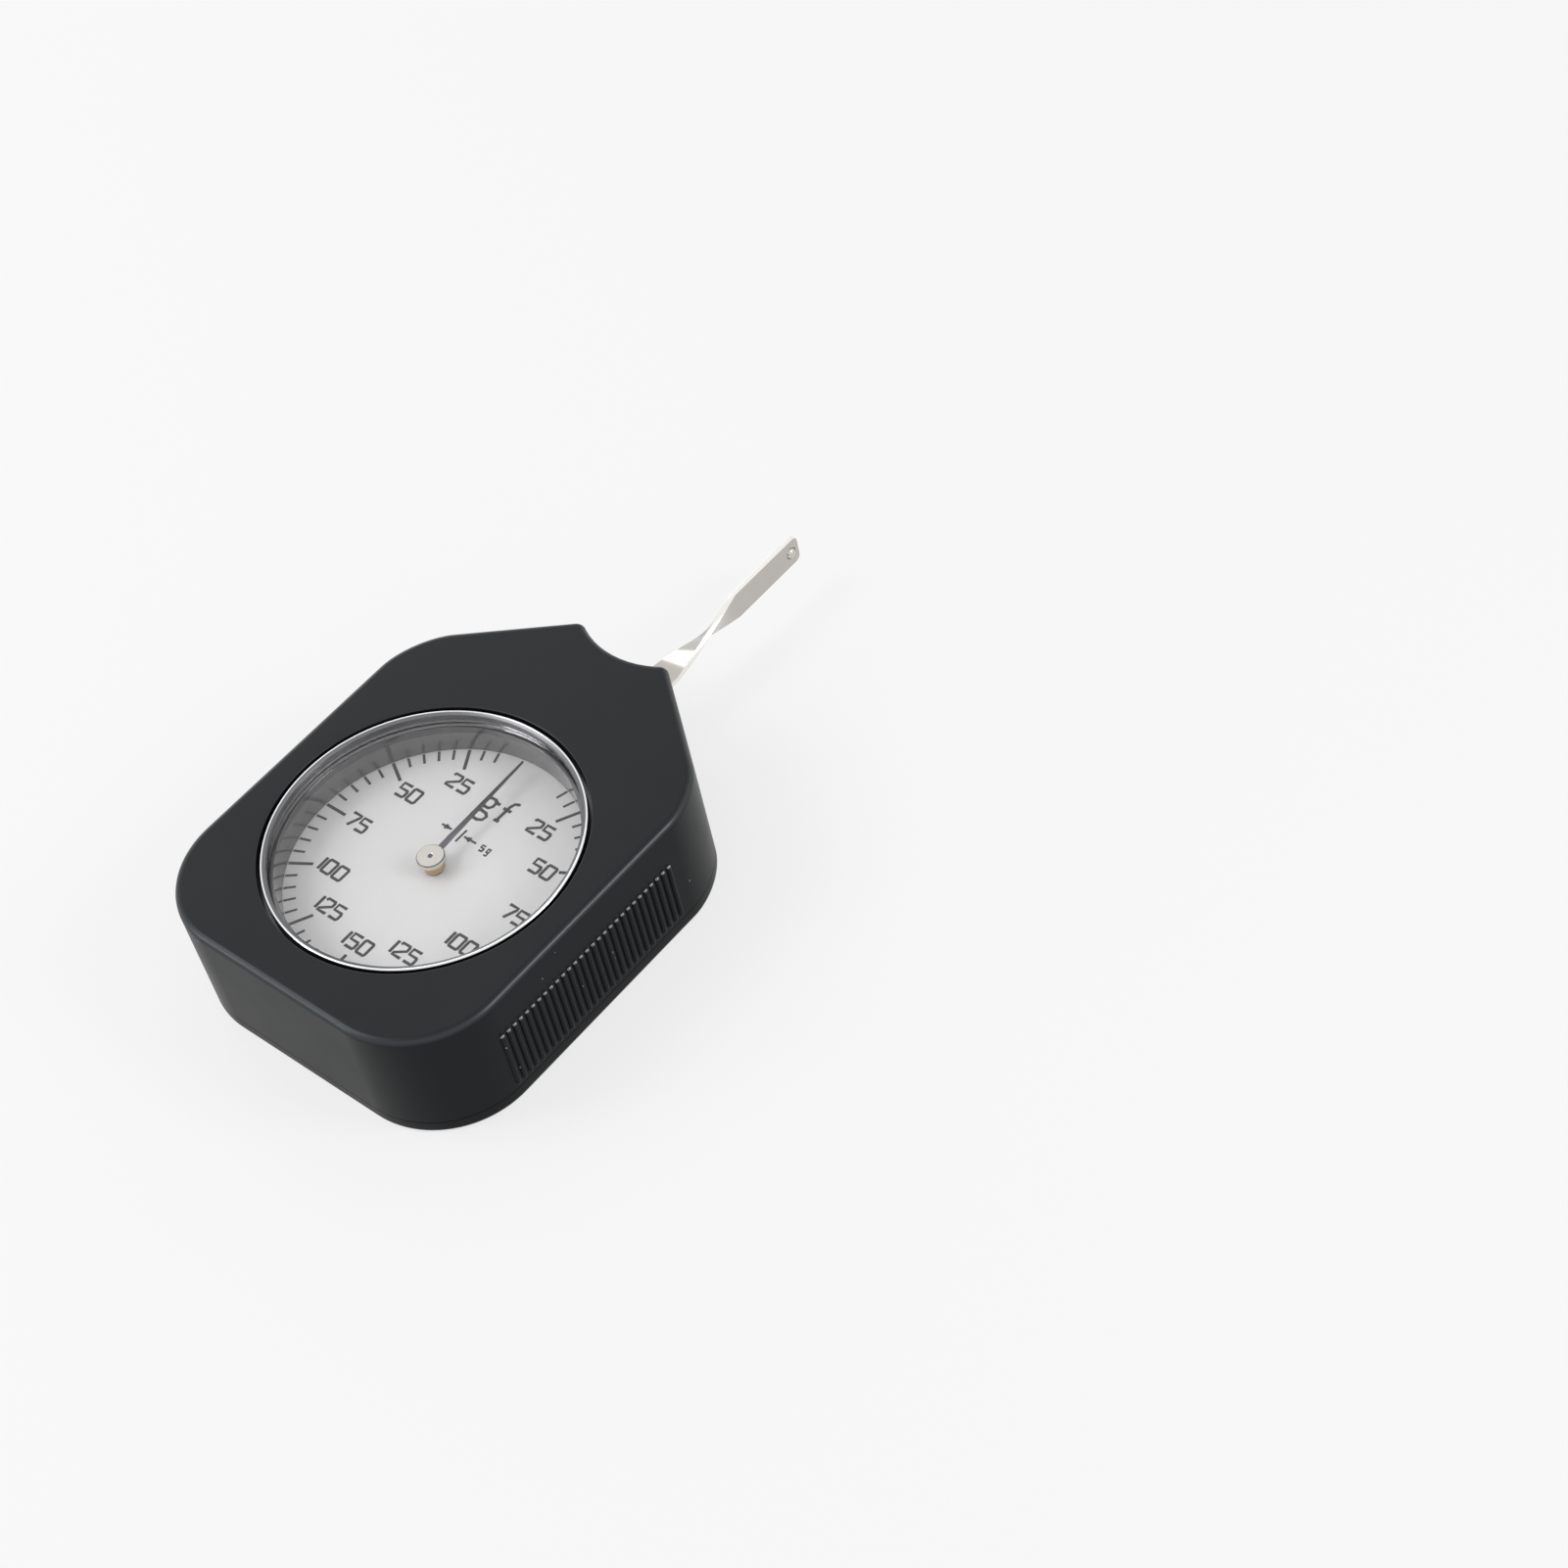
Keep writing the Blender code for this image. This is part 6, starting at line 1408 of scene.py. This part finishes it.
# %% [markdown]
# The measuring arm is one steel strip: an eye riveted to the lever inside the
# body, a flat stretch through the nose, a quarter turn, and a blade on edge
# with a ball near its tip.  The twist is the strip's end face spun about the
# strip's own axis while it moves along it, which is how the real strip is
# wrung between two grips.

# %% Model the measuring arm
LEVER_Y, ARM_Z = 24.7, 8.0
ARM_HALF, ARM_THICKNESS, ARM_BREAK = 2.25, 0.8, 0.05
EYE_RADIUS, TWIST_START_Y, TWIST_LENGTH, TWIST_STEPS, TWIST_DEG = 4.6, 46.9, 15.5, 36, -90
TIP_Y, TIP_ROUNDING, BALL_Y, BALL_SEAT, BALL_RADIUS = 76.15, 0.9, 74.55, 0.95, 0.9
SPIGOT_HOLE, RIVET_HOLE, RIVET_X = 1.96, 0.66, 3.3
HOLE_STEPS, RIVET_STEPS, EYE_STEPS = 40, 24, 48
FACES_SIDEWAYS, NARROW_SIDE = 0.9, 0.6


def end_face(bm, y):
    """The end face of the strip at a place along it."""
    return [f for f in bm.faces if lies_at(f, 1, y)]


def drill_tip(bm, blade_y):
    """Open a round seat through both broad sides of the blade's tip."""
    sides = [f for f in bm.faces
             if abs(f.normal.x) > FACES_SIDEWAYS and f.calc_center_median().y > blade_y * MM]
    borders = []
    for side in sides:
        x = side.calc_center_median().x
        edges = list(side.edges)
        circle = bmesh.ops.create_circle(bm, segments=HOLE_STEPS, radius=BALL_SEAT * MM, cap_ends=False,
                                         matrix=Matrix.Rotation(math.radians(90), 4, "Y"))["verts"]
        bmesh.ops.translate(bm, verts=circle, vec=(x, BALL_Y * MM, ARM_Z * MM))
        seat = list({e for v in circle for e in v.link_edges})
        borders += seat
        remove_faces(bm, [side])
        bmesh.ops.triangle_fill(bm, edges=edges + seat, use_beauty=True, normal=(1, 0, 0))
    bmesh.ops.bridge_loops(bm, edges=borders)


def make_arm_mesh():
    """Eye, flat strip, quarter twist and blade."""
    bm = bmesh.new()
    eye = eye_arc(bm, EYE_RADIUS, ARM_HALF, EYE_STEPS)
    move(bm, eye, y=LEVER_Y)
    corners = [bm.verts.new((x * MM, TWIST_START_Y * MM, 0)) for x in (ARM_HALF, -ARM_HALF)]
    holes = [(0, LEVER_Y, SPIGOT_HOLE, HOLE_STEPS), (RIVET_X, LEVER_Y, RIVET_HOLE, RIVET_STEPS),
             (-RIVET_X, LEVER_Y, RIVET_HOLE, RIVET_STEPS)]
    faces = fill_flat(bm, eye + corners, holes, ARM_Z - ARM_THICKNESS / 2)
    raise_faces(bm, faces, ARM_THICKNESS)
    bmesh.ops.recalc_face_normals(bm, faces=bm.faces)
    start = end_face(bm, TWIST_START_Y)
    bmesh.ops.spin(bm, geom=start, cent=(0, 0, ARM_Z * MM), axis=(0, 1, 0),
                   angle=math.radians(TWIST_DEG), steps=TWIST_STEPS,
                   dvec=(0, TWIST_LENGTH / TWIST_STEPS * MM, 0), use_merge=False)
    blade_y = TWIST_START_Y + TWIST_LENGTH
    end = end_face(bm, blade_y)
    raise_faces(bm, end, 0.0, y=TIP_Y - blade_y)
    remove_faces(bm, start + end)
    tip = [e for e in bm.edges if lies_at(e, 1, TIP_Y)
           and abs(e.verts[0].co.x - e.verts[1].co.x) > ARM_THICKNESS / 2 * MM]
    round_edges(bm, tip, TIP_ROUNDING, 6)
    drill_tip(bm, blade_y)
    soften(bm, ARM_BREAK, 2, least_deg=50.0)
    return bm


def mark_highlit_edges(mesh):
    """Give the narrow sides of the strip their painted highlight, a brighter steel than the broad
    faces.
    """
    mesh.materials.append(EDGE_PAINTED_HIGHLIGHT)
    for face in mesh.polygons:
        share = min(max((face.center.y / MM - TWIST_START_Y) / TWIST_LENGTH, 0.0), 1.0)
        broad = Matrix.Rotation(math.radians(TWIST_DEG * share), 3, "Y") @ Vector((0, 0, 1))
        face.material_index = int(abs(face.normal.dot(broad)) < NARROW_SIDE)


arm = add_piece("twisted_arm", make_arm_mesh(), POLISHED_ARM, "lever",
                replaces=("measuring_arm",), crease_deg=35.0)
# The narrow sides take the painted highlight colour.
mark_highlit_edges(arm.data)
print("cut edge faces:", sum(face.material_index for face in arm.data.polygons))
print("arm:", [round(v / MM, 2) for v in arm.dimensions], len(arm.data.polygons), "faces")

# %% [markdown]
# The ball at the tip is set through the blade, proud of both sides, so that
# it touches the work with a point whichever way the arm pushes.

# %% Model the contact ball
ball_mesh = bmesh.new()
bmesh.ops.create_uvsphere(ball_mesh, u_segments=40, v_segments=20, radius=BALL_RADIUS * MM)
move(ball_mesh, ball_mesh.verts, y=BALL_Y, z=ARM_Z)
ball = add_piece("tip_ball", ball_mesh, BALL_NICKEL, "lever",
                 replaces=("contact_ball",))
print("ball:", [round(v / MM, 2) for v in ball.dimensions])

# %% [markdown]
# The movement inside keeps its solids from the frame.  It shows only when the
# gauge is opened, but each part gets the metal it is made of: ground brass
# plates, turned brass and steel, bronze bushes and blued springs.  Numbered
# parts, such as the pillars, share the finish of their name without number.

# %% Finish the movement
LEVER_TURNED = make_metal("lever_brass", TURNED, BRASS, roughness=0.26, Axis_Y=LEVER_Y * MM)
MOVEMENT_FINISHES = (
    (GROUND_BRASS, ("front_plate", "rear_plate", "sector_gear")),
    (LEVER_TURNED, ("lever_hub", "counterweight", "spring_collet")),
    (TURNED_BRASS, ("hairspring_collet", "plate_pillar", "dial_foot", "spring_stud",
                    "hairspring_stud")),
    (TURNED_BRONZE, ("pointer_front_bush", "pointer_rear_bush", "lever_front_bush",
                     "lever_rear_bush")),
    (BLUED, ("measuring_spring", "hairspring", "pointer_arbor")),
    (SATIN, ("lever_arbor", "pinion", "stop_pin", "arm_rivet", "front_plate_screw",
             "rear_plate_screw")),
)


def finish_movement():
    """Give every remaining node of the frame its procedural finish."""
    count = 0
    for finish, parts in MOVEMENT_FINISHES:
        for name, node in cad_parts.items():
            if name in parts or name.rstrip("0123456789").rstrip("_") in parts:
                for slot in node.material_slots:
                    slot.material = finish
                count += 1
    return count


print("movement nodes finished:", finish_movement())
